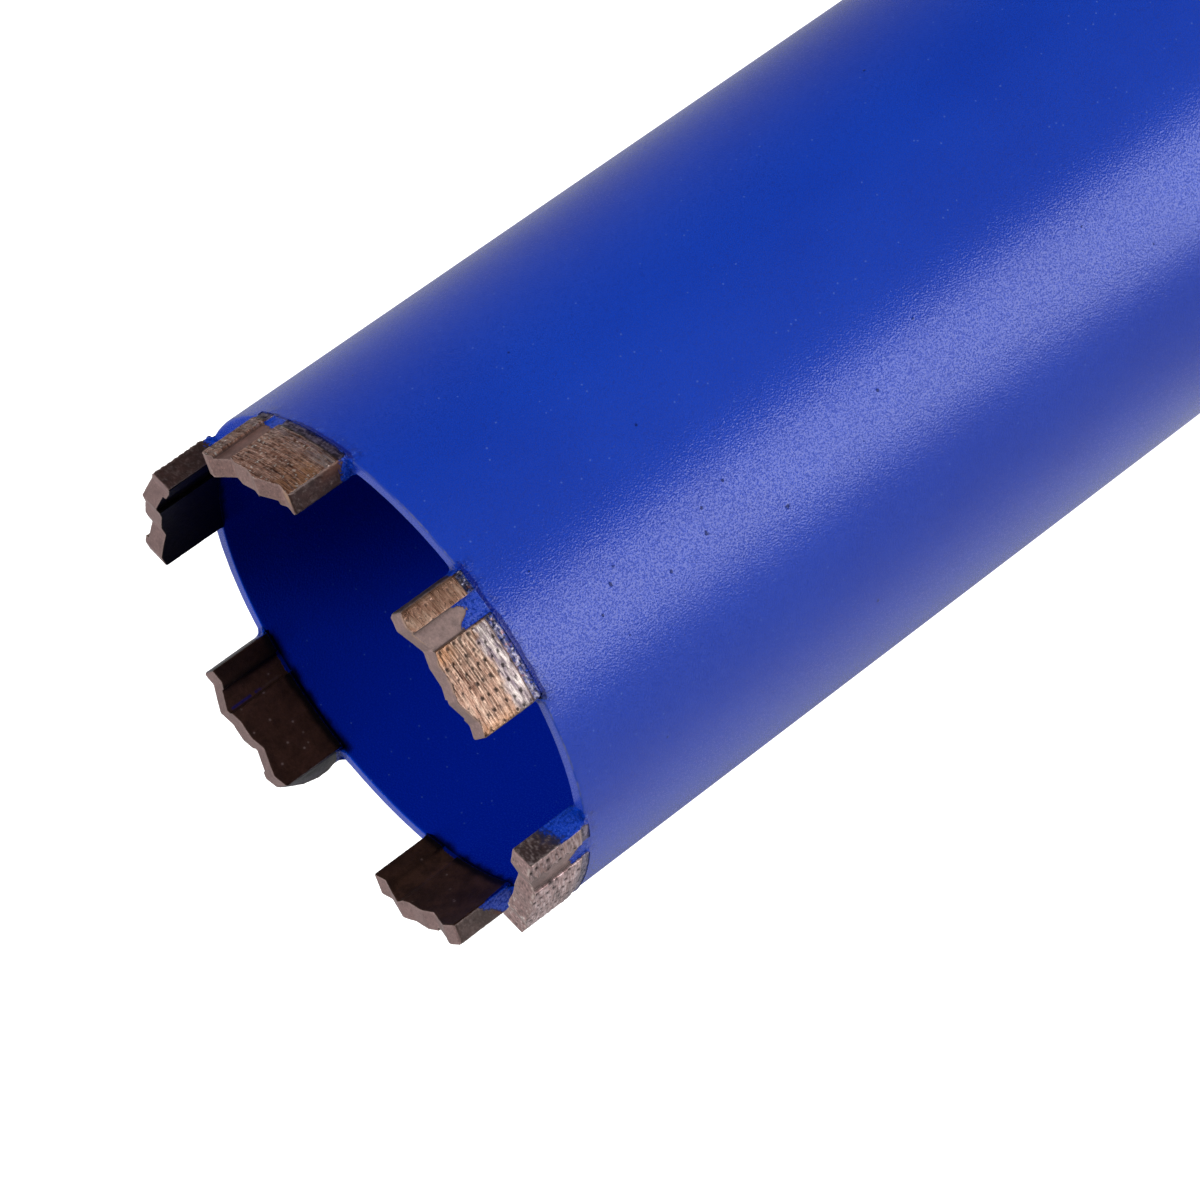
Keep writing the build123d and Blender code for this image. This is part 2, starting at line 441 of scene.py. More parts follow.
def askew(y, s):
    """The first segment was set a little askew: its trailing end lies nearer the axis, in mm."""
    return 0.65 * (SEG_W - y) / (2 * SEG_W) * (1 - 0.34 * s / SEG_T)


def groove(y, lo, hi, w=0.07):
    return sstep(lo - w, lo + w, y) * (1 - sstep(hi - w, hi + w, y))


# how each segment looks. tail, pit, streak, chip: depth of the ground face's marks. worn: the rubbed band. wave: bumps
# along the ground face's trailing edge. dark, mid, light: the ground face. gro, crown, inner, end: the other faces, and
# spark: painted glints on the ends.
LOOK = [
    dict(seed=101, scores_and_glints=0.22, gap=0.75, dashes=0.60, bore=1.70, mott=0.95, lot=1.0, tail=0.45, pit=1.00, streak=0.60, worn=0.15, chip=0.35, rough=0.4, wave=0.05, tilt=0.10, line=0.25, crest_highlight=0.35, stipple=0.18,
         dark=(0.120, 0.070, 0.068), mid=(0.545, 0.352, 0.345), light=(0.90, 0.73, 0.75), foot=((0.05, 0.045, 0.07), (0.19, 0.155, 0.23), (0.34, 0.29, 0.38)),
         gro=(0.235, 0.158, 0.150), crown=(0.262, 0.172, 0.166), inner=(0.050, 0.024, 0.016), end=(0.046, 0.025, 0.024), spark=0.40),
    dict(seed=202, scores_and_glints=0.22, gap=0.50, dashes=0.26, bore=1.0, mott=0.45, lot=0.72, tail=0.80, pit=0.85, streak=1.10, worn=1.00, chip=0.35, rough=1.0, wave=0.05, tilt=0.055, line=0.95, crest_highlight=1.0, stipple=0.15,
         dark=(0.085, 0.036, 0.022), mid=(0.265, 0.152, 0.108), light=(0.46, 0.325, 0.250), foot=((0.022, 0.026, 0.085), (0.085, 0.080, 0.150), (0.27, 0.25, 0.31)),
         gro=(0.225, 0.150, 0.138), crown=(0.252, 0.164, 0.155), inner=(0.050, 0.024, 0.016), end=(0.050, 0.030, 0.028), spark=0.30),
    dict(seed=303, scores_and_glints=1.0, gap=0.52, dashes=0.42, bore=0.85, mott=0.75, lot=1.0, tail=0.80, pit=0.55, streak=1.20, worn=0.35, chip=1.00, rough=0.6, wave=0.06, tilt=0.03, line=0.60, crest_highlight=0.45, stipple=0.35,
         dark=(0.135, 0.050, 0.033), mid=(0.470, 0.220, 0.148), light=(0.82, 0.53, 0.43), foot=((0.045, 0.031, 0.060), (0.145, 0.110, 0.185), (0.27, 0.215, 0.30)),
         gro=(0.190, 0.102, 0.088), crown=(0.228, 0.136, 0.123), inner=(0.050, 0.024, 0.016), end=(0.037, 0.0135, 0.0100), spark=0.15),
    dict(seed=404, scores_and_glints=0.60, gap=0.55, dashes=0.35, bore=1.0, mott=0.30, lot=1.0, tail=0.80, pit=0.90, streak=1.00, worn=0.20, chip=1.00, rough=1.0, wave=0.17, tilt=0.03, line=0.60, crest_highlight=0.45, stipple=0.3,
         dark=(0.115, 0.052, 0.036), mid=(0.300, 0.172, 0.124), light=(0.56, 0.41, 0.33), foot=((0.03, 0.025, 0.04), (0.11, 0.09, 0.12), (0.30, 0.26, 0.28)),
         gro=(0.190, 0.125, 0.112), crown=(0.225, 0.146, 0.140), inner=(0.006, 0.003, 0.003), end=(0.050, 0.022, 0.019), spark=0.14),
    dict(seed=505, scores_and_glints=0.60, gap=0.55, dashes=0.35, bore=1.0, mott=0.40, lot=1.0, tail=0.80, pit=0.90, streak=1.00, worn=0.30, chip=0.60, rough=1.0, wave=0.06, tilt=0.05, line=0.60, crest_highlight=0.60, stipple=0.3,
         dark=(0.115, 0.052, 0.036), mid=(0.300, 0.180, 0.130), light=(0.56, 0.41, 0.33), foot=((0.03, 0.025, 0.04), (0.11, 0.09, 0.12), (0.30, 0.26, 0.28)),
         gro=(0.190, 0.125, 0.112), crown=(0.200, 0.128, 0.122), inner=(0.060, 0.025, 0.0165), end=(0.018, 0.009, 0.011), spark=0.10),
    dict(seed=606, scores_and_glints=0.60, gap=0.55, dashes=0.35, bore=1.0, mott=0.40, lot=1.0, tail=0.80, pit=0.85, streak=1.00, worn=0.30, chip=0.60, rough=1.0, wave=0.06, tilt=0.05, line=0.60, crest_highlight=0.60, stipple=0.3,
         dark=(0.115, 0.052, 0.036), mid=(0.300, 0.180, 0.130), light=(0.56, 0.41, 0.33), foot=((0.03, 0.025, 0.04), (0.11, 0.09, 0.12), (0.30, 0.26, 0.28)),
         gro=(0.190, 0.125, 0.112), crown=(0.225, 0.145, 0.138), inner=(0.054, 0.024, 0.015), end=(0.068, 0.040, 0.035), spark=0.12),
]
# pale diamond grains showing in the inner faces: (along, up, radius, strength)
GRAINS = {
    4: [(0.97, 9.62, 0.20, 1.0), (6.92, 8.88, 0.24, 1.0), (0.78, 6.5, 0.24, 0.8), (4.91, 6.29, 0.22, 0.9), (-2.97, 5.04, 0.24, 1.0),
        (6.92, 4.73, 0.23, 0.9), (2.9, 3.8, 0.22, 1.0), (-4.72, 2.74, 0.18, 0.7), (-2.87, 9.28, 0.20, 0.45), (5.0, 3.46, 0.22, 0.4), (6.6, 3.77, 0.2, 0.5)],
    5: [(4.49, 6.5, 0.26, 1.0), (4.15, 6.38, 0.18, 0.6), (-1.47, 3.4, 0.24, 0.8), (-1.28, 9.94, 0.22, 0.6), (-7.0, 3.6, 0.22, 0.5), (1.6, 5.1, 0.3, 0.25)],
}


def streak_lines(y, z, look):
    """Long fine scores the grinding leaves, as two masks: dark furrows and bright crests."""
    sd = look["seed"]
    rng = np.random.default_rng(sd + 5000)
    v = z - look["tilt"] * y
    dark, bright = np.zeros(y.shape), np.zeros(y.shape)
    level = -0.6
    while level < 12.5:
        level += look["gap"] * rng.uniform(0.62, 1.4)
        thick = rng.uniform(0.062, 0.105)
        bend = 0.16 * (fbm(y * 0.22, y * 0 + 3.7 * level, sd + 70, 2) - 0.5)
        on = sstep(0.46, 0.60, fbm(y * look["dashes"], y * 0 + 7.3 * level, sd + 71, 2))
        d = v - level - bend
        dark = np.maximum(dark, on * gauss(d, thick) * rng.uniform(0.6, 1.0))
        bright = np.maximum(bright, on * gauss(d - 0.17, thick * 0.9) * rng.uniform(0.4, 1.0))
    return dark, bright


def face_relief(y, z, look, land):
    """Relief of the ground outer face in mm (0 is the ground diameter, inward is negative), with its masks."""
    sd = look["seed"]
    rng = np.random.default_rng(sd)
    h = np.full(y.shape, -0.10)
    pit = np.zeros(y.shape)
    tail = np.zeros(y.shape)
    tail_shade = np.zeros(y.shape)
    pitch_y, pitch_z = 2.04, 1.14
    v = z - look["tilt"] * y
    for c in range(-6, 7):
        for q in range(0, 11):
            cy = 0.62 + c * pitch_y + rng.normal(0, 0.10)
            cz = 1.85 + q * pitch_z + (0.55 if c % 2 else 0.0) + rng.normal(0, 0.10) + look["tilt"] * cy
            size = rng.uniform(0.55, 1.25)
            out = rng.random()
            length = rng.uniform(0.8, 2.0)
            if rng.random() < 0.08:
                continue
            dy, dz = y - cy, z - cz - look["tilt"] * (y - cy)
            box = (np.abs(dz) < 0.9) & (dy > -2.6) & (dy < 1.0)
            if not box.any():
                continue
            dyb, dzb = dy[box], dz[box]
            size = size * look["bore"]
            p = gauss(dyb, 0.125 * size) * gauss(dzb, 0.110 * size)
            front = gauss(dyb - 0.20 * look["bore"], 0.10) * gauss(dzb, 0.17 * size)
            along = np.clip(-dyb / length, 0, 1)
            taper = sstep(0.02, 0.14, along) * (1 - along) ** 0.8
            t = taper * gauss(dzb - 0.03, 0.13 * size * (1 - 0.45 * along))
            # the flanks of each tail; in the colour they are drawn dark as painted shade
            side = taper * (gauss(dzb - 0.24, 0.07) + gauss(dzb + 0.24, 0.07))
            grain = 0.08 if out > 0.80 else -0.20
            h[box] += look["pit"] * grain * p - 0.05 * front * look["pit"]
            h[box] += look["tail"] * (0.060 * t - 0.060 * side)
            pit[box] = np.maximum(pit[box], p * (0.45 if out > 0.80 else 1.0) + 0.30 * front)
            tail[box] = np.maximum(tail[box], t)
            tail_shade[box] = np.maximum(tail_shade[box], side)
    line = fbm(y * 0.26 + 3, v * 2.7, sd + 1, 3, 0.6) - 0.5
    fine = fbm(y * 0.9, v * 5.6, sd + 2, 2, 0.6) - 0.5
    furrow, crest = streak_lines(y, z, look)
    h += look["streak"] * (0.060 * line + 0.045 * fine - 0.050 * furrow + 0.030 * crest)
    chips = fbm(y * 1.6, z * 1.9, sd + 3, 3, 0.55)
    h -= look["chip"] * 0.10 * sstep(0.60, 0.78, chips)
    # rubbed band just above the foot
    top = 3.55 + 1.9 * (fbm(y * 0.33, z * 0, sd + 4, 2) - 0.5) + 0.9 * (fbm(y * 1.1, z * 1.1, sd + 8, 2) - 0.5)
    rub = sstep(1.35, 1.7, z) * (1 - sstep(-0.35, 0.55, z - top))
    if look["worn"] < 0.9:
        rub = rub * sstep(0.45, 0.62, fbm(y * 0.45, z * 0.6, sd + 5, 3))
    rub = rub * min(1.0, look["worn"]) * (1 - sstep(2.7, 3.0, y))
    # the braze line and the rough foot
    ln = gauss(z - (1.42 + 0.10 * (fbm(y * 0.8, z * 0, sd + 6) - 0.5)), 0.10)
    h -= 0.10 * ln
    foot = 1 - sstep(1.2, 1.5, z)
    h += foot * 0.18 * (fbm(y * 2.4, z * 3.0, sd + 7, 3, 0.6) - 0.55) * look["rough"]
    # the trailing edge, left bumpy by the grinding
    wave = np.abs(np.sin(np.pi * (z - 0.4) / 1.07 + 0.8 * fbm(z * 0.4, z * 0, sd + 10)))
    h -= look["wave"] * (1 - wave) * (1 - sstep(0.1, 1.0, y + SEG_W)) * (1 - foot)
    h = np.minimum(h, 0.0)
    pit = pit * (1 - 0.85 * foot)
    return h, np.clip(pit * (1.35 if look["bore"] > 1.5 else 1.0), 0, 1), tail * (1 - foot), rub, foot, np.clip(tail_shade, 0, 1) * (1 - foot), ln


def blend(a, b, t):
    return a + (np.asarray(b, float) - a) * np.clip(t, 0, 1)[:, None]


def three(dark, mid, light, m):
    m = np.clip(m, 0, 1)[:, None]
    dark, mid, light = (np.asarray(c, float) for c in (dark, mid, light))
    return np.where(m < 0.5, dark + (mid - dark) * (m * 2), mid + (light - mid) * (m * 2 - 1))


def surface_colour(k, y, s, z, is_out, is_in, is_end, is_top, g_o, g_i, pit, tail, rub, foot, tail_shade, ln, top):
    look = LOOK[k]
    sd = look["seed"]
    v = z - look["tilt"] * y
    # ground face
    a = fbm(y * 0.28 + 9, v * 2.6, sd + 40, 3, 0.6) - 0.5
    b = fbm(y * 0.85, v * 6.0, sd + 41, 2, 0.6) - 0.5
    c = fbm(y * 0.42, z * 0.5, sd + 42, 3) - 0.5
    m = 0.47 + 1.25 * a + 0.75 * b + 0.75 * c
    col = three(look["dark"], look["mid"], look["light"], m)
    where = sstep(0.38, 0.58, fbm(y * 0.5, z * 0.6, sd + 44, 2))
    furrow, crest = streak_lines(y, z, look)
    # painted highlight: cream lines along the crests of the scores
    col = blend(col, np.array(look["light"]) * 1.25, 0.85 * look["crest_highlight"] * crest)
    col = blend(col, np.array(look["dark"]) * 0.60, 0.92 * look["line"] * furrow * (0.55 + 0.45 * where))
    # painted shade: dark dashes along each tail's flanks
    col = blend(col, np.array(look["dark"]) * 0.8, 0.55 * tail_shade)
    col = blend(col, np.array(look["light"]) * 1.05, 0.35 * tail)
    st = fbm(y * 3.3, z * 3.3, sd + 46, 2, 0.6)
    col = blend(col, np.array(look["dark"]) * 0.8, look["stipple"] * sstep(0.56, 0.70, st))
    col = blend(col, np.array(look["light"]) * 1.15, look["stipple"] * (1 - sstep(0.30, 0.42, st)))
    if k == 2:
        heat = (1 - sstep(-8.4, -4.6, y + 3.0 * c)) * sstep(3.6, 4.8, z)
        col = blend(col, (0.54, 0.235, 0.085), 0.62 * heat * sstep(-0.16, 0.10, a + 0.5 * b))
        rust = sstep(8.2, 9.6, z + 1.5 * c) * (1 - sstep(0.5, 3.5, y)) + 0.7 * gauss(v - 6.4, 0.5) * (1 - sstep(-2, 3, y))
        col = blend(col, (0.30, 0.105, 0.062), 0.55 * np.clip(rust, 0, 1) * sstep(-0.10, 0.08, b))
        pale = (1 - sstep(-8.3, -6.2, y + 2.0 * b)) * sstep(1.5, 1.9, z) * (1 - sstep(3.4, 4.4, z + b))
        col = blend(col, (0.50, 0.42, 0.42), 0.65 * pale * sstep(-0.1, 0.15, a + b))
        glint = sstep(0.74, 0.81, fbm(y * 2.6, z * 3.0, sd + 47, 2, 0.7))
        col = blend(col, (0.95, 0.86, 0.80), 0.9 * glint)
        col = blend(col, (0.36, 0.28, 0.34), 0.45 * (1 - sstep(2.6, 4.6, z + 1.4 * c)) * sstep(-0.1, 0.1, b))
        col = col * (1 - 0.28 * sstep(6.4, 6.8, y))[:, None]
    if k == 1:
        heat = gauss(y - 2.4, 1.0) * sstep(6.5, 8.5, z) + 0.8 * gauss(y + 9.6, 0.8) * sstep(3.5, 5.5, z)
        col = blend(col, (0.44, 0.21, 0.10), 0.55 * np.clip(heat, 0, 1))
        right = sstep(6.4, 6.8, y)
        col = blend(col, three((0.20, 0.080, 0.046), (0.45, 0.240, 0.160), (0.70, 0.46, 0.34), 0.5 + 0.9 * b + 1.1 * c + 0.5 * a), right * 0.85)
    if k == 0:
        right = sstep(6.4, 6.8, y) * sstep(3.0, 5.0, z)
        warm = sstep(-0.02, 0.10, a)
        col = blend(col, (0.46, 0.24, 0.19), 0.45 * right * warm)
        col = col * (1 - 0.30 * sstep(6.4, 6.8, y))[:, None]
        col = blend(col, (0.22, 0.185, 0.24), 0.6 * (1 - sstep(1.6, 3.4, z + 1.5 * c)) * (1 - sstep(0.5, 2.6, y)))
    # rubbed band
    w1 = fbm(y * 0.42 + z * 0.5, z * 2.3 - y * 0.35, sd + 50, 3, 0.62)
    w2 = fbm(y * 1.3, z * 4.4 - y * 0.5, sd + 51, 2, 0.6)
    silver = three((0.105, 0.082, 0.110), (0.250, 0.205, 0.210), (0.47, 0.41, 0.39), 0.5 + 1.9 * (w1 - 0.5) + 1.2 * (w2 - 0.5))
    col = blend(col, silver, rub * 0.92 * sstep(0.22, 0.42, w1 + 0.3 * w2))
    # foot strip
    f1 = fbm(y * 1.1, z * 2.6, sd + 52, 3, 0.65)
    f2 = fbm(y * 3.0, z * 3.6, sd + 53, 2, 0.6)
    strip = three(*look["foot"], 0.42 + 1.9 * (f1 - 0.5) + 1.5 * (f2 - 0.5))
    if k == 1:
        hue = fbm(y * 3.4, z * 3.4, sd + 54, 2)
        strip = blend(strip, (0.30, 0.10, 0.05), 0.5 * sstep(0.74, 0.82, hue))
        strip = blend(strip, (0.02, 0.05, 0.24), 0.6 * (1 - sstep(0.26, 0.40, hue)))
    col = blend(col, strip, foot)
    # painted shade: a dark blue line along the bottom of the foot, where it meets the barrel
    low = 1 - sstep(0.0, 0.55, z + 0.5 * (f1 - 0.5))
    col = blend(col, (0.008, 0.018, 0.15), 0.85 * low)
    col = blend(col, (0.030, 0.014, 0.012), 0.85 * ln)
    if k == 2:
        col = blend(col, (0.016, 0.009, 0.010), 0.85 * gauss(z - 1.45, 0.13))
    col = blend(col, (0.022, 0.012, 0.014), 0.92 * pit)
    # grooves
    p1 = fbm(y * 1.2, z * 1.2, sd + 60, 3, 0.6) - 0.5
    p2 = fbm(y * 3.5, z * 3.5, sd + 61, 2, 0.6) - 0.5
    gro = np.asarray(look["gro"])[None, :] * (1 + 0.55 * p1 + 0.45 * p2)[:, None]
    gro = gro * (1 - 0.30 * sstep(5.5, 9.5, z) * (k in (0, 2)))[:, None]
    # painted shade: thin dark lines along both walls of the outer groove
    gro = blend(gro, np.asarray(look["gro"]) * 0.35, 0.8 * np.maximum(gauss(y - GR_IN - 0.08, 0.09), gauss(y - GR_OUT + 0.08, 0.09)))
    lip = gauss(z - paint_edge(k, y, z, s, 1), 0.11)
    gro = blend(gro, (0.10, 0.055, 0.045), 0.75 * lip)
    col = blend(col, gro, is_out * sstep(0.3, 0.7, g_o))
    # crown
    q1 = fbm(y * 0.9, s * 0.9, sd + 62, 3, 0.6) - 0.5
    q2 = fbm(y * 4.2, s * 4.2, sd + 63, 2, 0.6) - 0.5
    mott = look["mott"]
    cr = np.asarray(look["crown"])[None, :] * (1 + 0.40 * q1 + 0.60 * mott * q2)[:, None]
    cr = blend(cr, np.asarray(look["crown"]) * 1.9, 0.7 * mott * sstep(0.20, 0.28, q2))
    cr = blend(cr, np.asarray(look["crown"]) * 0.35, 0.6 * mott * sstep(0.20, 0.28, -q2))
    # painted light and shade: crown facets falling towards +y drawn lighter, rising ones darker
    cr = cr * (0.90 + 0.20 * sstep(-1.0, 1.0, np.interp(y, [-9.8, -8, -7.6, -3.9, -3.6, -1.5, 1.4, 3.5, 3.8, 7.6, 7.8, 9.8], [0.6, 0.6, -0.5, -0.5, 0.6, 0.4, 0.1, 0.7, -0.6, -0.6, 0.5, 0.5])))[:, None]
    # painted highlight: pale lines along the crown's two valleys
    fold_highlight = np.maximum(gauss(y - 3.55, 0.11), gauss(y + 7.75, 0.11)) * sstep(0.40, 0.52, fbm(y * 0 + 2.0, s * 1.4, sd + 69, 2))
    cr = blend(cr, np.asarray(look["crown"]) * 1.9, 0.45 * fold_highlight)
    if k == 0:
        glint = sstep(0.66, 0.74, fbm(y * 2.6, s * 2.6, 771, 2, 0.7)) * gauss(y + 5.0, 2.6)
        cr = blend(cr, (0.80, 0.72, 0.68), 0.75 * glint)
        cr = blend(cr, (0.085, 0.060, 0.058), 0.55 * sstep(0.16, 0.26, -q2))
        # painted highlight: a pale line along the crown near its outer edge
        cr = blend(cr, (0.62, 0.52, 0.48), 0.6 * gauss(s - 3.45, 0.16) * sstep(0.45, 0.60, fbm(y * 0.8, s * 0, 772, 2)))
    if k in (1, 2):
        warm = sstep(2.9, 3.7, s) * sstep(-0.1, 0.1, q1) if k == 1 else (1 - sstep(-9.2, -7.9, y)) * sstep(1.2, 2.6, s)
        cr = blend(cr, (0.46, 0.27, 0.15), 0.55 * warm)
    col = np.where(is_top[:, None], cr, col)
    # ends
    e1 = fbm(s * 1.3 + 4, z * 1.1, sd + 64, 3, 0.6) - 0.5
    e2 = fbm(s * 3.4 + z, z * 3.4 - s, sd + 65, 2, 0.6)
    e3 = fbm(s * 2.6 - z * 1.4, z * 2.6 + s * 1.4, sd + 66, 2, 0.6)
    en = np.asarray(look["end"])[None, :] * (1 + 1.0 * e1)[:, None]
    # painted glints: pale flecks along fine scratches on the ends
    en = blend(en, (0.34, 0.27, 0.26), look["spark"] * (sstep(0.60, 0.74, e2) + 0.7 * sstep(0.62, 0.74, e3)))
    en = blend(en, np.asarray(look["end"]) * 0.25, 1.2 * look["spark"] * (1 - sstep(0.28, 0.42, e2)))
    if k == 0:
        over = z - paint_edge(k, y, z, s, 2)
        en = blend(en, (0.008, 0.014, 0.065), 0.8 * (1 - sstep(0.2, 2.2, over + 3.0 * (e3 - 0.5))))
    if k == 2:
        en = blend(en, (0.10, 0.030, 0.010), 0.7 * sstep(1.2, 3.2, s) * (1 - sstep(3.0, 6.0, z)))
        en = blend(en, (0.010, 0.010, 0.030), 0.8 * (1 - sstep(0.1, 0.6, s)))
    if k == 5:
        en = en * (0.80 + 0.45 * sstep(2.0, 9.5, z))[:, None]
        en = blend(en, (0.12, 0.030, 0.012), 0.6 * sstep(1.6, 3.4, s) * (1 - sstep(0.4, 0.9, np.abs(z - paint_edge(k, y, z, s, 2) - 0.3))))
    if k == 4:
        # painted reflection and shade on the swollen end: a lavender band across its middle, near black by the inner
        # edge
        deep = sstep(0.9, 2.6, s)
        swell_sheen = gauss(s - 2.2, 0.8)
        en = blend(en, (0.050, 0.046, 0.070), 0.85 * swell_sheen * sstep(1.5, 5.0, z))
        en = blend(en, (0.060, 0.030, 0.024), 0.8 * sstep(2.7, 3.6, s))
        en = blend(en, (0.004, 0.004, 0.012), 1 - deep)
    col = np.where((is_end & ~is_top & ~is_out & ~is_in)[:, None], en, col)
    # inner face
    i1 = fbm(y * 0.5, z * 0.5, sd + 67, 3, 0.6) - 0.5
    i2 = fbm(y * 2.6, z * 2.6, sd + 68, 2, 0.6) - 0.5
    inn = np.asarray(look["inner"])[None, :] * (1 + 0.9 * i1 + 0.5 * i2)[:, None]
    for gy, gz, gr, amt in GRAINS.get(k, []):
        inn = blend(inn, (0.36, 0.26, 0.23), 0.9 * amt * (1 - sstep(gr * 0.35, gr, np.hypot(y - gy, z - gz))))
        inn = blend(inn, (0.11, 0.060, 0.050), 0.4 * amt * gauss(np.hypot(y - gy, z - gz), gr * 1.1))
    # painted shade along the inner groove's walls
    groove_wall_shade = np.maximum(gauss(y + GR_IN, 0.10), gauss(y + GR_OUT + 0.15, 0.22))
    inn = blend(inn, np.asarray(look["inner"]) * 0.25, (0.30 if k == 5 else 0.85) * groove_wall_shade)
    if k == 4:
        inn = inn * (1 - 0.48 * (1 - sstep(-7.0, -6.4, y)))[:, None]
        # painted shade: a dark band along the inner groove's far wall
        inn = blend(inn, np.asarray(look["inner"]) * 0.15, 0.75 * gauss(y + 6.85, 0.38) * (1 - 0.5 * sstep(5.0, 8.5, z)))
    if k == 5:
        in_groove = sstep(-6.6, -6.2, y) * (1 - sstep(-3.8, -3.3, y))
        inn = blend(inn, np.asarray(look["inner"]) * 1.55, 0.55 * in_groove * sstep(-0.14, 0.14, i1 + 0.5 * i2))
        # painted highlight: a pale band along the groove's worn wall
        inn = blend(inn, np.asarray(look["inner"]) * (2.1, 2.2, 2.4), 0.75 * gauss(y + 3.75 - 0.05 * z, 0.34) * sstep(0.8, 1.8, z) * (1 - sstep(5.2, 6.6, z)))
        inn = blend(inn, np.asarray(look["inner"]) * 0.45, 0.55 * sstep(0.02, 0.16, i2 - 0.4 * i1) * (1 - in_groove))
    if k == 4:
        thin = gauss(y + 3.66, 0.13) * sstep(4.2, 6.0, z + 1.5 * i2) * sstep(0.38, 0.5, fbm(y * 0, z * 1.1, 781, 2))
        inn = blend(inn, (0.010, 0.010, 0.20), 0.9 * thin)
        inn = blend(inn, (0.10, 0.060, 0.055), 0.6 * gauss(y + 3.66, 0.12) * (1 - sstep(3.6, 5.0, z)) * sstep(1.0, 2.0, z))
    # painted shade: the inner face drawn near black along its foot, where it meets the barrel
    soot = (1 - sstep(0.55, 1.55, z + 0.5 * i1)) * (1 - 0.9 * g_i)
    inn = blend(inn, (0.0020, 0.0012, 0.0012), 0.97 * soot)
    col = np.where((is_in & ~is_top)[:, None], inn, col)
    return np.clip(col, 0.0005, 1.0)


def paint_edge(k, y, z, s, side):
    """How far up the foot the coat reaches, in mm above the barrel's rim. side: 0 outer face, 1 groove, 2 leading end,
    3 trailing end, 4 inner face."""
    n1 = fbm(y * 0.9 + 7 * k, s * 0.9, 900 + k, 3, 0.6) - 0.5
    n2 = fbm(y * 3.1, z * 3.1 + s * 2, 950 + k, 3, 0.6) - 0.5
    if side == 0:
        return 0.10 + 0.22 * n1 + 0.20 * n2
    if side == 1:
        u = (y - GR_IN) / (GR_OUT - GR_IN)
        if k == 1:
            # a bare tongue runs down the middle
            base = 4.55 - 2.15 * gauss(u - 0.60, 0.17) - 0.5 * gauss(u - 0.85, 0.08)
        elif k == 0:
            base = 3.0 - 0.9 * u + 0.5 * np.sin(7 * u)
        elif k == 2:
            base = 2.3 - 0.5 * u
        else:
            base = 2.6 + 0.4 * np.sin(3 * k + 5 * u)
        return base + 0.7 * n1 + 0.9 * n2
    if side in (2, 3):
        n1 = fbm(z * 0.8 + 7 * k, s * 0.9, 900 + k + side, 3, 0.6) - 0.5
        n2 = fbm(z * 3.0, s * 3.0, 950 + k + side, 3, 0.6) - 0.5
    if side == 2:
        u = s / SEG_T
        base = [5.7 - 1.3 * u, 1.5 + 0.2 * (1 - u), 1.4, 2.0, 1.2, 6.0 - 4.0 * u][k]
        return base + 0.9 * n1 + ([2.2, 0.9, 0.9, 0.9, 0.6, 0.5][k]) * n2
    if side == 3:
        u = s / SEG_T
        return [1.4, 1.3, 1.3 + 0.9 * (1 - u), 1.4, 1.5, 1.3][k] + 0.9 * n1 + 1.8 * n2
    groove_ = (1 - sstep(GR_OUT - 0.2, GR_OUT + 0.1, -y)) * sstep(GR_IN - 0.1, GR_IN + 0.3, -y)
    base = -0.15 + 0.30 * groove_
    if k == 5:
        base = base + 4.8 * sstep(8.9, 9.8, y)
    return base + 0.15 * n1 + 0.2 * n2


def axis_samples(lo, hi, step, extra):
    base = np.arange(lo, hi + step * 0.5, step)
    base[-1] = hi
    v = np.unique(np.round(np.concatenate([base, np.array(extra, float)]), 4))
    keep = [v[0]]
    must = set(np.round(extra, 4)) | {round(lo, 4), round(hi, 4)}
    for x in v[1:]:
        if x - keep[-1] < 0.028:
            if round(x, 4) in must:
                keep[-1] = x if round(keep[-1], 4) not in must else keep[-1]
                if keep[-1] != x:
                    keep.append(x)
            continue
        keep.append(x)
    return np.array(keep)


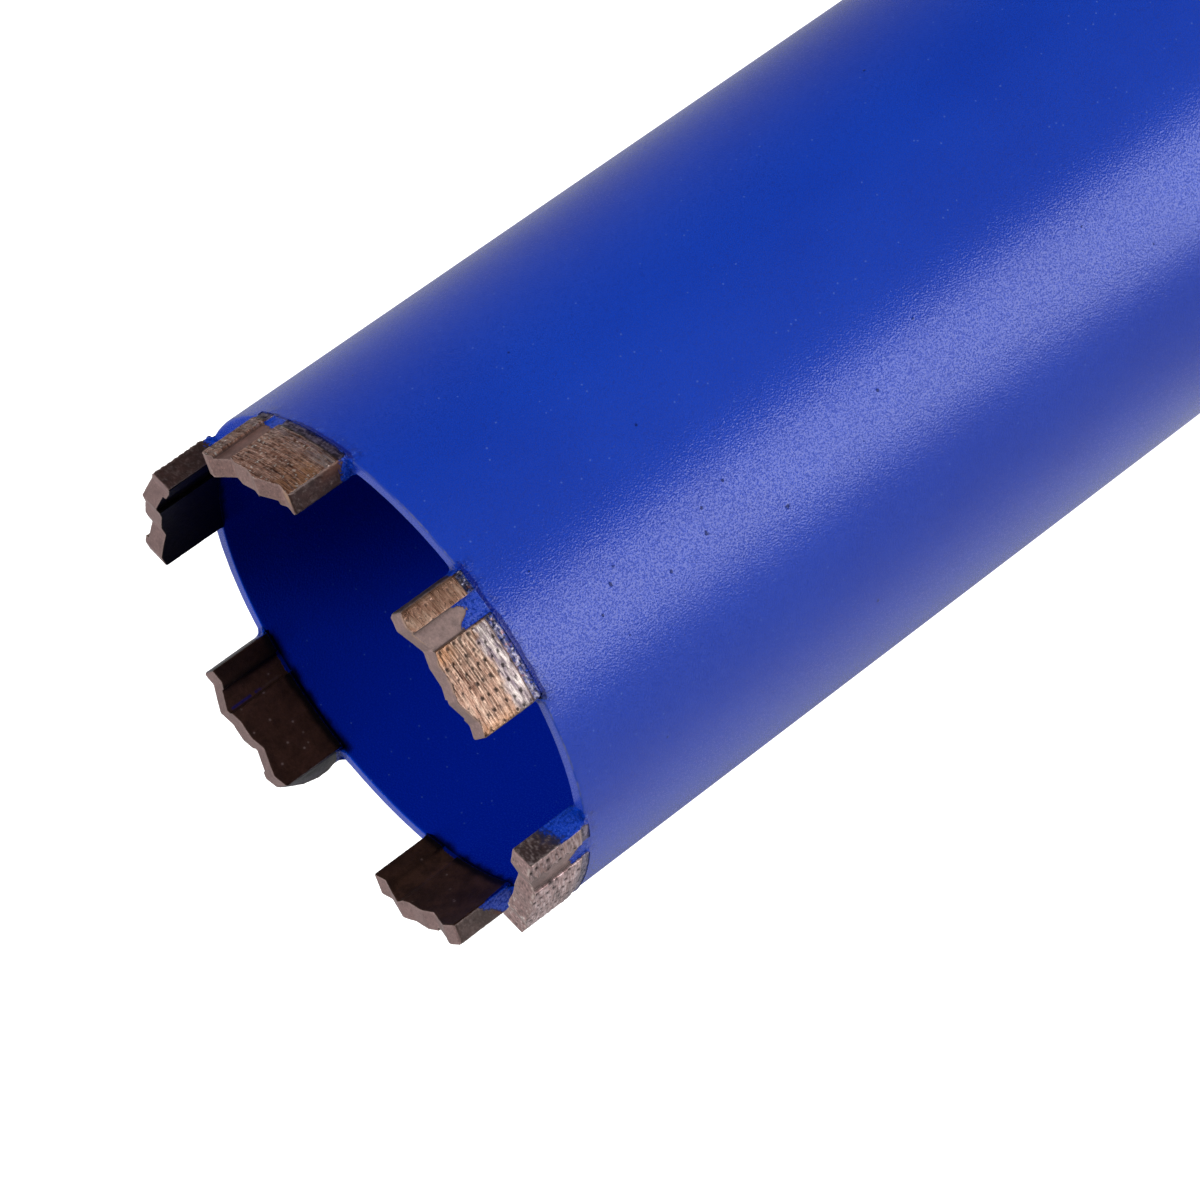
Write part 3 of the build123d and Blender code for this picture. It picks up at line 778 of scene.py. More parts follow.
def make_segment(k):
    look = LOOK[k]
    walls = []
    for c in (GR_IN, GR_OUT, -GR_IN, -GR_OUT):
        walls += [c - 0.07, c - 0.03, c + 0.03, c + 0.07]
    edge = [0.03, 0.08, 0.14, 0.22, 0.3, 0.4, 0.52]
    Y = axis_samples(-SEG_W, SEG_W, 0.105, walls + [SEG_W - e for e in edge] + [-SEG_W + e for e in edge])
    S = axis_samples(0, SEG_T, 0.24, edge + [SEG_T - e for e in edge])
    zl = axis_samples(0, 8.5, 0.11, [])
    up = np.linspace(0, 1, 16)[1:]
    band = np.array([0.60, 0.50, 0.40, 0.31, 0.22, 0.16, 0.11, 0.07, 0.035, 0.0])
    nz = len(zl) + len(up) + len(band)
    ny, ns = len(Y), len(S)
    I, J, K = np.meshgrid(np.arange(ny), np.arange(ns), np.arange(nz), indexing="ij")
    surf = (I == 0) | (I == ny - 1) | (J == 0) | (J == ns - 1) | (K == 0) | (K == nz - 1)
    idx = np.full(surf.shape, -1, int)
    idx[surf] = np.arange(surf.sum())
    i, j, kk = I[surf], J[surf], K[surf]
    y, s = Y[i].copy(), S[j].copy()
    top = crown(y)
    z = np.zeros(len(i))
    a = kk < len(zl)
    z[a] = zl[kk[a]]
    b = (kk >= len(zl)) & (kk < len(zl) + len(up))
    z[b] = 8.5 + up[kk[b] - len(zl)] * (top[b] - 0.68 - 8.5)
    c = kk >= len(zl) + len(up)
    z[c] = top[c] - band[kk[c] - len(zl) - len(up)]
    y0, s0, z0 = y.copy(), s.copy(), z.copy()

    # vertical corners
    e = 0.24 if k == 0 else 0.45
    qy, qs = np.clip(y, -SEG_W + e, SEG_W - e), np.clip(s, e, SEG_T - e)
    dy, ds = y - qy, s - qs
    cheb, ln = np.maximum(np.abs(dy), np.abs(ds)), np.hypot(dy, ds)
    f = np.where(ln > 1e-9, cheb / np.maximum(ln, 1e-9), 1.0)
    ny_, ns_ = np.where(ln > 1e-9, dy / np.maximum(ln, 1e-9), 0), np.where(ln > 1e-9, ds / np.maximum(ln, 1e-9), 0)
    y, s = qy + dy * f, qs + ds * f
    # crown edges
    e2 = 0.17 + (0.05 if k == 0 else 0.36) * np.abs(ny_)
    inward = np.where(ln > 1e-9, e - cheb, 10.0)
    u, w = np.clip(e2 - inward, 0, e2), np.clip(e2 - (top - z0), 0, e2)
    cc, hh = np.maximum(u, w), np.maximum(np.hypot(u, w), 1e-9)
    du, dw = u - cc * u / hh, w - cc * w / hh
    y, s, z = y - ny_ * du, s - ns_ * du, z - dw

    # masks of the faces
    on_out = sstep(SEG_T - 0.16, SEG_T - 0.05, s0) * sstep(0.02, 0.12, top - z0 + 0.02)
    on_in = (1 - sstep(0.05, 0.16, s0)) * sstep(0.02, 0.12, top - z0 + 0.02)
    g_o = groove(y0, GR_IN, GR_OUT)
    g_i = groove(y0, -GR_OUT, -GR_IN)
    is_out, is_in = j == ns - 1, j == 0
    is_end = (i == 0) | (i == ny - 1)
    is_top = kk == nz - 1

    h, pit, tail, rub, foot, tail_shade, ln = face_relief(y0, z0, look, None)
    edge_fade = sstep(0.0, 0.35, SEG_W - np.abs(y0)) * sstep(0.0, 0.30, top - z0)
    chipped = fbm(y0 * 2.1, z0 * 2.1, look["seed"] + 9, 3, 0.6)
    if k == 1:
        h = h * (1 - 0.55 * sstep(6.4, 6.8, y0) * (1 - foot))
    h_land = h * (0.55 + 0.45 * edge_fade) - 0.05 * (1 - edge_fade) * sstep(0.5, 0.75, chipped)
    h_groove = -0.02 - 0.02 * fbm(y0 * 1.3, z0 * 1.3, look["seed"] + 12, 3)
    relief = h_land * (1 - g_o) + h_groove * g_o
    step_line = FOOT_H + 0.10 * (fbm(y0 * 0.9, z0 * 0, look["seed"] + 6) - 0.5)
    r_out = SEG_RO - GR_O_DEPTH * g_o + relief - FOOT_STEP * (1 - sstep(step_line - 0.07, step_line + 0.05, z0)) * (1 - g_o)
    inner_rel = 0.03 * fbm(y0 * 1.5, z0 * 1.5, look["seed"] + 14, 3) + 0.02 * fbm(y0 * 5, z0 * 5, look["seed"] + 15, 2)
    # on the first segment the inner groove runs out below the crown
    runs_out = 1 - 0.8 * sstep(7.8, 9.4, z0) if k == 0 else 1.0
    g_r = g_i
    if k == 5:
        # this one's groove has soft, worn walls above the foot
        g_r = g_i + (sstep(-7.7, -5.7, y0) * (1 - sstep(-4.0, -2.5, y0)) - g_i) * sstep(0.6, 2.2, z0)
    r_in = SEG_RI + GR_I_DEPTH * g_r * runs_out + inner_rel
    r = r_in + (s / SEG_T) * (r_out - r_in)

    # ends: pressed, faintly rough, with the edge knocked off here and there
    end_w = (np.abs(y) / SEG_W) ** 10
    end_rel = 0.035 * fbm(s0 * 1.4 + 5, z0 * 1.4, look["seed"] + 17, 3) + 0.05 * sstep(0.62, 0.8, fbm(s0 * 2.6, z0 * 2.6, look["seed"] + 18, 3))
    y = y - np.sign(y) * end_rel * end_w
    # crown: pressed face, faint grain
    z = z - 0.025 * (z0 / top) ** 12
    z = z - 0.03 * fbm(y0 * 1.7, s0 * 1.7, look["seed"] + 19, 3) * (z0 / top) ** 12
    z = np.minimum(z, 10.975)

    if k == 4:
        sw = np.interp(z0, [p[0] for p in SWELL][::-1], [p[1] for p in SWELL][::-1])
        lift = (sw - SEG_W) * np.clip((s / SEG_T - 0.04) / 0.96, 0, 1) * sstep(8.3, 10.0, y0)
        lift = lift + 0.10 * (fbm(s0 * 1.2, z0 * 0.9, 77, 3) - 0.5) * sstep(9.0, 10.0, y0)
        y = y + lift
        lim = 41.0 - 0.03
        r = np.minimum(r, lim - 0.05 * sstep(9.5, 11.5, y))

    # the coat's edge
    paint = np.zeros(len(y))
    out_land, out_groove = is_out & (g_o < 0.5), is_out & (g_o >= 0.5)
    for mask, side in ((out_land, 0), (out_groove, 1), (is_end & (y0 > 0) & ~is_out & ~is_in, 2),
                       (is_end & (y0 < 0) & ~is_out & ~is_in, 3), (is_in, 4)):
        if mask.any():
            pe = paint_edge(k, y0[mask], z0[mask], s0[mask], side)
            soft = {(0, 2): 1.7, (2, 3): 0.45, (5, 2): 0.9, (1, 1): 0.30, (0, 1): 0.25}.get((k, side), 0.07)
            paint[mask] = sstep(-soft, soft, pe - z0[mask])
    fleck = sstep(0.66, 0.76, fbm(y0 * 3.3, z0 * 3.3, look["seed"] + 21, 3, 0.6))
    paint = np.maximum(paint, is_out * foot * (1 - g_o) * fleck * (0.9 if k == 1 else 0.5) * (1 - sstep(0.5, 1.1, z0)))
    paint[kk == 0] = 1.0
    r = r + np.where(is_out, 0.04, np.where(is_in, -0.04, 0.0)) * paint * (0.5 + fbm(y0 * 3, z0 * 3, 61, 2))
    r = np.clip(r, SEG_RI, SEG_RO)
    if k == 0:
        r = r - askew(y0, s0)

    land = on_out * (1 - g_o) * is_out
    dark = np.where((is_end | is_in) & ~is_top & ~is_out, 1.0, 0.0)
    tint = surface_colour(k, y0, s0, z0, is_out & ~is_top, is_in, is_end, is_top, g_o, g_i, pit, tail, rub, foot, tail_shade, ln, top)
    # painted highlight: pale lines along the edges of the crown and ends, fainter on the inner face
    rim_ = np.minimum(np.abs(s0 - SEG_T), np.abs(s0)) + np.where(is_top | is_end, 0.0, 10.0)
    edge_highlight = np.exp(-np.minimum(rim_, 5) / 0.15)
    edge_highlight = np.maximum(edge_highlight, np.exp(-(top - z0) / 0.10) * (~is_top))
    edge_highlight = edge_highlight * np.where(is_in, 0.35, 1.0) * sstep(1.5, 2.5, z0)

    t = math.radians(60.0 * k + SET_DEG[k])
    x = np.sqrt(np.maximum(r * r - y * y, 0))
    verts = np.stack([x * math.cos(t) - y * math.sin(t), x * math.sin(t) + y * math.cos(t), RIM_Z + z], -1)
    quads = [grid_quads(idx[:, ns - 1, :]), grid_quads(idx[:, 0, :], True),
             grid_quads(idx[0, :, :]), grid_quads(idx[ny - 1, :, :], True),
             grid_quads(idx[:, :, 0]), grid_quads(idx[:, :, nz - 1], True)]
    quads = np.concatenate(quads)
    ob = make_mesh(f"diamond_segment_{k + 1}", verts, quads, {
        "seg": np.stack([y0, s0, z0 - look["tilt"] * y0 * is_out], -1), "tint": tint, "land": land, "dark": dark, "inner": is_in * (1.25 if k == 3 else 1.0), "paint": paint,
        "pit": pit * is_out * (1 - g_o), "rub": rub * is_out * (1 - g_o), "edge": edge_highlight,
        "scores_and_glints": is_out * (1 - g_o) * (1 - foot) * (1 - 0.5 * rub) * look["scores_and_glints"]})
    return ob


segments = [make_segment(k) for k in range(6)]


# ------------------------------------------------------------------ painted fillets between the feet and the rim
def make_fillet(k):
    rng_seed = 700 + k
    e = 0.35
    stations = []
    ya = np.linspace(-SEG_W + e, SEG_W - e, 150)
    corner = np.radians(np.linspace(0, 90, 9))[1:-1]
    for yy in ya:
        stations.append((yy, SEG_T, 0.0, 1.0))
    for c in corner:
        stations.append((SEG_W - e + e * math.sin(c), SEG_T - e + e * math.cos(c), math.sin(c), math.cos(c)))
    for ss in np.linspace(SEG_T - e, e, 26):
        stations.append((SEG_W, ss, 1.0, 0.0))
    for c in corner:
        stations.append((SEG_W - e + e * math.cos(c), e - e * math.sin(c), math.cos(c), -math.sin(c)))
    for yy in ya[::-1]:
        stations.append((yy, 0.0, 0.0, -1.0))
    for c in corner:
        stations.append((-SEG_W + e - e * math.sin(c), e - e * math.cos(c), -math.sin(c), -math.cos(c)))
    for ss in np.linspace(e, SEG_T - e, 26):
        stations.append((-SEG_W, ss, -1.0, 0.0))
    for c in corner:
        stations.append((-SEG_W + e - e * math.cos(c), SEG_T - e + e * math.sin(c), -math.cos(c), math.sin(c)))
    st = np.array(stations)
    y, s, ny_, ns_ = st.T
    g_o = groove(y, GR_IN, GR_OUT) * (s > SEG_T - 0.01)
    g_i = groove(y, -GR_OUT, -GR_IN) * (s < 0.01)
    if k == 4:
        y = y + (11.75 - SEG_W) * np.clip(s / SEG_T, 0, 1) * sstep(8.3, 10.0, y)
    r_p = SEG_RI + s - FOOT_STEP * np.clip(ns_, 0, 1) - GR_O_DEPTH * g_o + GR_I_DEPTH * g_i
    if k == 0:
        r_p = r_p - askew(y, s)
    n = len(y)
    arc = np.arange(n) * 0.14
    ends = np.abs(ny_)
    blob = fbm(arc * 1.1, arc * 0 + 2.0, rng_seed, 3, 0.6)
    z_top = 0.03 + ends ** 2 * (0.30 + 0.7 * blob)
    wdt = 0.35 + ends ** 2 * (0.15 + 0.75 * blob)
    yb, sb = y + ny_ * wdt, (r_p - SEG_RI) + ns_ * 0.5
    rb = np.clip(SEG_RI + sb, TUBE_RI, TUBE_RO)
    over = np.abs(SEG_RI + sb - rb)
    zb = -np.where(over > 0, np.where(ns_ < 0, 0.10, 0.24) + 0.55 * over, 0.0) * (0.85 + 0.3 * blob)
    rc = np.clip(r_p, TUBE_RI, TUBE_RO)
    m = 9
    rows, joint_shades, froths, foot_shades = [], [], [], []
    notch = gauss(y + SEG_W, 0.32) * gauss(s - SEG_T, 0.5) * (k == 1)
    for q in range(m):
        t = q / (m - 1)
        a, b, c = (1 - t) ** 2, 2 * t * (1 - t), t * t
        bulge = 4 * t * (1 - t)
        lump = (fbm(arc * 3.0, arc * 0 + t * 3.0, rng_seed + 1, 3, 0.65) - 0.42)
        yy = a * y + b * y + c * yb + ny_ * bulge * (0.05 + 0.16 * ends * lump)
        rr = a * r_p + b * rc + c * rb + ns_ * bulge * (0.02 + 0.03 * lump)
        zz = a * z_top + b * 0.02 + c * zb + bulge * ends * (0.03 + 0.20 * lump)
        rows.append((yy, rr, zz))
        # painted shade: the fillet's inner side and the notch drawn near black, with a faint line on the outer side
        out_line = (1 - sstep(0.70, 1.0, t)) * np.clip(ns_ * 1.2, 0, 1)
        in_line = np.clip(-ns_ * 1.5, 0, 1) * (1 - 0.9 * g_i)
        joint_shades.append(np.clip(in_line * 0.97 + 0.05 * out_line * (1 - t) + notch * (1 - 0.6 * t) * 1.1, 0, 1))
        # painted shade: the outer fillet's concave corner and the inner groove's corner drawn deep blue
        foot_shades.append(np.clip((0.30 if k == 0 else 0.95) * np.clip(ns_ * 1.2, 0, 1) + 0.9 * g_i * np.clip(-ns_ * 1.2, 0, 1), 0, 1))
        froths.append(np.clip(ends * 1.0 + 0.12 * np.clip(ns_, 0, 1), 0, 1))
    # closed at the back, inside the metal
    joint_shades += [joint_shades[-1], joint_shades[0]]
    froths += [froths[-1], froths[0]]
    foot_shades += [foot_shades[-1], foot_shades[0]]
    rows.append((y - ny_ * 0.25, np.clip(rb, TUBE_RI + 0.25, TUBE_RO - 0.25), np.minimum(zb, 0) - 0.12))
    rows.append((y - ny_ * 0.25, np.clip(r_p - ns_ * 0.25, SEG_RI + 0.2, SEG_RO - 0.6), z_top * 0 + 0.05))
    t = math.radians(60.0 * k + SET_DEG[k])
    pts = []
    for yy, rr, zz in rows:
        x = np.sqrt(rr * rr - yy * yy)
        pts.append(np.stack([x * math.cos(t) - yy * math.sin(t), x * math.sin(t) + yy * math.cos(t), RIM_Z + zz], -1))
    verts = np.stack(pts, 0)
    mm = len(rows)
    idx = np.arange(mm * n).reshape(mm, n)
    idx = np.concatenate([idx, idx[:1]], 0)
    idx = np.concatenate([idx, idx[:, :1]], 1)
    return make_mesh(f"foot_fillet_{k + 1}", verts.reshape(-1, 3), grid_quads(idx, True),
                     {"soot": np.array(joint_shades).ravel(), "fuzz": np.array(froths).ravel(), "deep": np.array(foot_shades).ravel()})


fillets = [make_fillet(k) for k in range(6)]
for ob in fillets:
    sharp_by_angle(ob, 55)


# ------------------------------------------------------------------ end plate, hub, welds
def plate_rows(th):
    rr = [11.0, 11.15] + list(np.linspace(12, 36.6, 22)) + [37.07, 37.12, 37.84, TUBE_RI]
    prof = [(r, PLATE_Z) for r in rr[:-2]] + [(37.87, 20.8), (37.87, 25.8), (37.7, 26.0)]
    prof += [(r, 26.0) for r in np.linspace(37.2, 11.3, 22)] + [(11.0, 25.85)]
    p = np.array(prof)
    r = np.repeat(p[:, :1], len(th), 1)
    z = np.repeat(p[:, 1:2], len(th), 1)
    return r, z


plate = revolve("end_plate_disc", plate_rows, 256)
sharp_by_angle(plate, 30)


def hub_rows(th):
    lead = 1.68
    top = 26.8
    prof = [(8.6, 0.0), (8.8, 0.0), (10.0, 0.0), (12.0, 0.0), (14.0, 0.0), (15.6, 0.0), (16.9, 0.0), (17.05, 0.03), (17.95, 0.93), (18.0, 1.05)]
    prof += [(18.0, z) for z in np.linspace(2.2, 13.4, 12)] + [(18.0, 13.98), (18.0, 14.02), (18.0, 14.3)]
    prof += [(18.0, z) for z in (15.5, 17.0, 18.5, 19.95)] + [(17.9, 20.0), (14.0, 20.0), (11.02, 20.0), (11.0, 20.05)]
    prof += [(11.0, z) for z in (22.0, 24.0, 26.4)] + [(10.7, 26.78), (10.6, 26.8), (9.6, 26.8), (8.62, 26.8)]
    p = np.array(prof)
    r = np.repeat(p[:, :1], len(th), 1)
    z = np.repeat(p[:, 1:2], len(th), 1)
    flat = 16.0 / np.maximum(np.abs(np.cos(th)), 1e-6)
    lim = np.where(p[:, 1:2] < 14.0, flat[None, :], 99.0)
    lim = lim - np.clip(1.0 - p[:, 1:2], 0, 1) * 0.25 * (lim < 50)
    r = np.minimum(r, lim)
    # the bore: M16 x 2 thread with a countersink at both ends
    zb = np.arange(top - 0.05, 0.02, -0.135)
    zz = np.repeat(zb[:, None], len(th), 1)
    ph = (zz / 2.0 - th[None, :] / (2 * np.pi)) % 1.0
    tri = np.abs(ph - 0.5) * 2                     # 0 at the root's middle, 1 at the crest's middle
    thr = 6.92 + 1.10 * (1 - sstep(0.10, 0.80, tri))
    cone = np.maximum(8.6 - zz, 8.6 - (top - zz))
    rb = np.maximum(thr, cone)
    return np.concatenate([r, rb]), np.concatenate([z, zz])


ang = np.linspace(0, 2 * np.pi, 132, endpoint=False)
cut = math.acos(16.0 / 18.0)
ang = np.unique(np.concatenate([ang, [cut, np.pi - cut, np.pi + cut, 2 * np.pi - cut]]))
hub = revolve("hub_boss", hub_rows, 0, angles=ang)
sharp_by_angle(hub, 30)


def bead(name, r0, z0, ra, za, rc, zc, seed, ripples, fat):
    """A weld bead between (r0,z0) and (ra,za) with its root at (rc,zc), closed section."""
    th = np.linspace(0, 2 * np.pi, 540, endpoint=False)
    arc = th * r0
    wob = fbm(th * 9, th * 0 + 1.0, seed, 2) - 0.5
    phase = (th * ripples / (2 * np.pi) + 0.15 * np.sin(th * 7)) % 1.0
    rip = 1 - (phase - 0.15) ** 2 * 1.6
    rr, zz = [], []
    m = 11
    mx, mz = (r0 + ra) / 2 - rc, (z0 + za) / 2 - zc
    ln = math.hypot(mx, mz)
    mx, mz = mx / ln, mz / ln
    for q in range(m):
        t = q / (m - 1)
        swell_ = math.sin(math.pi * t)
        skew = (phase - 0.5) * 0.0
        amp = fat * swell_ * (0.72 + 0.28 * rip + 0.25 * wob) + 0.0 * skew
        grow = 0.12 * fat * wob * (2 * t - 1)
        rr.append(r0 * (1 - t) + ra * t + mx * amp + (ra - r0) / max(abs(ra - r0), 1e-6) * grow)
        zz.append(z0 * (1 - t) + za * t + mz * amp)
    rr.append(np.full(len(th), rc - mx * 0.0))
    zz.append(np.full(len(th), zc))
    r, z = np.array(rr), np.array(zz)
    x, y = r * np.cos(th), r * np.sin(th)
    verts = np.stack([x, y, z], -1).reshape(-1, 3)
    mm, n = r.shape
    idx = np.arange(mm * n).reshape(mm, n)
    idx = np.concatenate([idx, idx[:1]], 0)
    idx = np.concatenate([idx, idx[:, :1]], 1)
    ob = make_mesh(name, verts, grid_quads(idx, False))
    return ob


weld_hub = bead("weld_hub", 17.95, 17.3, 20.7, 19.97, 18.0 - 0.3, 20.3, 51, 92, 0.55)
weld_rim = bead("weld_back_rim", 36.6, 20.03, 38.2, 20.03, 37.6, 20.9, 52, 150, 0.30)

for ob in (tube, plate, hub, weld_hub, weld_rim, *segments, *fillets):
    me = ob.data
    import bmesh
    bm = bmesh.new()
    bm.from_mesh(me)
    bmesh.ops.recalc_face_normals(bm, faces=bm.faces)
    bm.to_mesh(me)
    bm.free()

# ------------------------------------------------------------------ materials
barrel_paint = paint_material("barrel_paint")
rough_paint = paint_material("foot_paint", 1.6)


def matrix_material():
    n = Net("diamond_matrix")
    seg, tint = n.attr("seg", True), n.attr("tint", True)
    land, dark, paint, inner = n.attr("land"), n.attr("dark"), n.attr("paint"), n.attr("inner")
    pit, rub, edge = n.attr("pit"), n.attr("rub"), n.attr("edge")
    grit = n.noise(seg, 5.5, 3.0, 0.65)
    fine = n.noise(seg, 14.0, 2.0, 0.6)
    streak = n.noise(n.scale(seg, (0.6, 1.0, 6.5)), 1.0, 3.0, 0.62)
    col = n.mix(n.remap(grit, 0.32, 0.52, 0.30, 0.0), tint, n.mix(0.75, tint, (0.0, 0.0, 0.0)))
    col = n.mix(n.remap(fine, 0.52, 0.72, 0.0, 0.34), col, n.mix(0.5, n.scale(tint, (1.6, 1.6, 1.6)), (0.30, 0.25, 0.23)))
    scores_and_glints = n.attr("scores_and_glints")
    run = n.noise(n.scale(seg, (0.42, 1.0, 6.6)), 1.0, 2.0, 0.62)
    # grinding scores: the dark runs are real scoring, the pale runs a painted glint along them
    col = n.mix(n.math("MULTIPLY", scores_and_glints, n.remap(run, 0.34, 0.48, 0.85, 0.0)), col, n.mix(0.72, tint, (0.010, 0.004, 0.003)))
    col = n.mix(n.math("MULTIPLY", scores_and_glints, n.remap(run, 0.54, 0.66, 0.0, 0.85)), col, n.mix(0.35, n.scale(tint, (1.75, 1.75, 1.75)), (0.62, 0.52, 0.47)))
    # painted highlight: pale edges where the edge attribute is high
    col = n.mix(n.math("MULTIPLY", n.math("MULTIPLY", edge, 0.62), n.remap(grit, 0.35, 0.58)), col, (0.44, 0.35, 0.32))
    froth = n.noise(seg, 2.4, 3.0, 0.65)
    pcol = n.mix(n.remap(froth, 0.38, 0.54, 0.85, 0.0), PAINT, (0.0006, 0.014, 0.17))
    # pale flecks in the coat on the segments: rough coat, and partly painted glints
    pcol = n.mix(n.remap(fine, 0.58, 0.70, 0.0, 0.60), pcol, (0.09, 0.19, 0.58))
    pcol = n.mix(n.remap(n.noise(seg, 4.6, 2.0, 0.7), 0.61, 0.70, 0.0, 0.75), pcol, (0.13, 0.24, 0.66))
    pcol = n.mix(n.remap(paint, 0.45, 0.90, 0.85, 0.0), pcol, (0.0007, 0.009, 0.105))
    pcol = n.mix(inner, pcol, n.mix(n.remap(froth, 0.45, 0.62), (0.0004, 0.004, 0.085), (0.0006, 0.012, 0.24)))
    ragged = n.math("ADD", n.math("MULTIPLY", n.math("SUBTRACT", grit, 0.5), 0.8), n.math("MULTIPLY", n.math("SUBTRACT", froth, 0.5), 1.5))
    coat = n.remap(n.math("ADD", paint, ragged), 0.34, 0.56)
    coat = n.math("MULTIPLY", coat, n.remap(paint, 0.02, 0.2))
    coat = n.math("MAXIMUM", coat, n.remap(paint, 0.93, 0.99))
    col = n.mix(coat, col, pcol)
    metal = n.mixf(land, n.mixf(dark, 0.25, 0.40), 0.85)
    metal = n.mixf(coat, metal, 0.0)
    metal = n.mixf(pit, metal, 0.1)
    rough = n.mixf(land, n.mixf(dark, 0.50, 0.42), n.remap(streak, 0.3, 0.7, 0.24, 0.46))
    rough = n.mixf(coat, rough, 0.30)
    hgt = n.math("ADD", n.math("MULTIPLY", grit, 0.8), n.math("MULTIPLY", fine, 0.5))
    hgt = n.math("ADD", hgt, n.math("MULTIPLY", n.math("MULTIPLY", streak, land), 2.0))
    hgt = n.math("ADD", hgt, n.math("MULTIPLY", n.math("MULTIPLY", froth, coat), 3.2))
    nrm = n.bump(hgt, 0.00003, 1.0)
    gloss = n.mixf(coat, 0.5, n.remap(froth, 0.42, 0.60, 0.08, 0.42))
    n.principled(Base_Color=col, Metallic=metal, Roughness=rough, Specular_IOR_Level=n.mixf(n.math("MAXIMUM", n.math("MULTIPLY", inner, 0.8), n.math("MULTIPLY", pit, 0.9)), gloss, 0.06), Normal=nrm)
    return n.mat


def steel_material():
    n = Net("hub_steel")
    co = n.obj()
    sep = n.node("ShaderNodeSeparateXYZ")
    n.put(co, sep.inputs[0])
    x, y, z = sep.outputs
    rad = n.math("SQRT", n.math("ADD", n.math("MULTIPLY", x, x), n.math("MULTIPLY", y, y)))
    comb = n.node("ShaderNodeCombineXYZ")
    n.put(n.math("MULTIPLY", rad, 4200.0), comb.inputs[0])
    n.put(n.math("MULTIPLY", z, 4200.0), comb.inputs[1])
    turn = n.noise(comb.outputs[0], 1.0, 3.0, 0.6)
    cloud = n.noise(co, 160.0, 4.0, 0.6)
    stain = n.noise(co, 420.0, 3.0, 0.6)
    col = n.ramp(n.math("ADD", n.math("MULTIPLY", turn, 0.45), n.math("MULTIPLY", cloud, 0.55)),
                 [(0.25, (0.23, 0.225, 0.22)), (0.5, (0.40, 0.395, 0.385)), (0.75, (0.55, 0.545, 0.53))])
    col = n.mix(n.remap(stain, 0.60, 0.74, 0.0, 0.45), col, (0.20, 0.13, 0.085))
    over = n.remap(n.math("ADD", z, n.math("MULTIPLY", n.math("SUBTRACT", cloud, 0.5), 0.006)), 0.0150, 0.0168)
    outer = n.remap(rad, 0.0088, 0.0095)
    over = n.math("MULTIPLY", over, outer)
    fleck = n.math("MULTIPLY", n.math("MULTIPLY", n.remap(n.noise(co, 2400.0, 2.0, 0.6), 0.60, 0.68), n.remap(z, 0.006, 0.016)), outer)
    coat = n.math("MAXIMUM", over, n.math("MULTIPLY", fleck, 0.8))
    col = n.mix(coat, col, PAINT)
    metal = n.mixf(coat, 1.0, 0.0)
    rough = n.mixf(coat, n.remap(turn, 0.3, 0.7, 0.26, 0.42), 0.42)
    nrm = n.bump(n.math("ADD", turn, n.math("MULTIPLY", coat, 1.0)), 0.00002, 1.0)
    n.principled(Base_Color=col, Metallic=metal, Roughness=rough, Normal=nrm)
    return n.mat


matrix = matrix_material()
steel = steel_material()


def finish_piece(ob, material, node):
    ob.data.materials.clear()
    ob.data.materials.append(material)
    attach(ob, "root")
    if node:
        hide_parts(node)


finish_piece(tube, barrel_paint, "barrel_tube")
finish_piece(plate, barrel_paint, "end_plate")
finish_piece(hub, steel, "threaded_hub")
finish_piece(weld_hub, rough_paint, None)
finish_piece(weld_rim, rough_paint, None)
for k in range(6):
    finish_piece(segments[k], matrix, f"segment_{k + 1}")
    finish_piece(fillets[k], rough_paint, None)

# ------------------------------------------------------------------ floor, light, camera
def flat_disc(name, r0, r1, z, n=96, rings=1):
    th = np.linspace(0, 2 * np.pi, n, endpoint=False)
    rr = np.geomspace(max(r0, 1e-3), r1, rings + 1)
    pts = [(r * math.cos(t), r * math.sin(t), z) for r in rr for t in th]
    idx = np.arange((rings + 1) * n).reshape(rings + 1, n)
    idx = np.concatenate([idx, idx[:, :1]], 1)
    q = grid_quads(idx)
    me = bpy.data.meshes.new(name)
    faces = [tuple(int(i) for i in f) for f in q]
    if r0 <= 0:
        faces.append(tuple(range(n)))
    me.from_pydata(pts, [], faces)
    me.validate()
    ob = bpy.data.objects.new(name, me)
    scene.collection.objects.link(ob)
    return ob


floor = flat_disc("floor", 0.0, 14.0, -0.00005, 128, 3)
fm = Net("floor_white")
fco = fm.obj()
fm.principled(Base_Color=fm.mix(fm.noise(fco, 3.0, 2.0), (0.84, 0.84, 0.845), (0.86, 0.86, 0.86)), Roughness=0.9,
              Emission_Color=(1.0, 1.0, 1.0), Emission_Strength=0.62)
floor.data.materials.append(fm.mat)

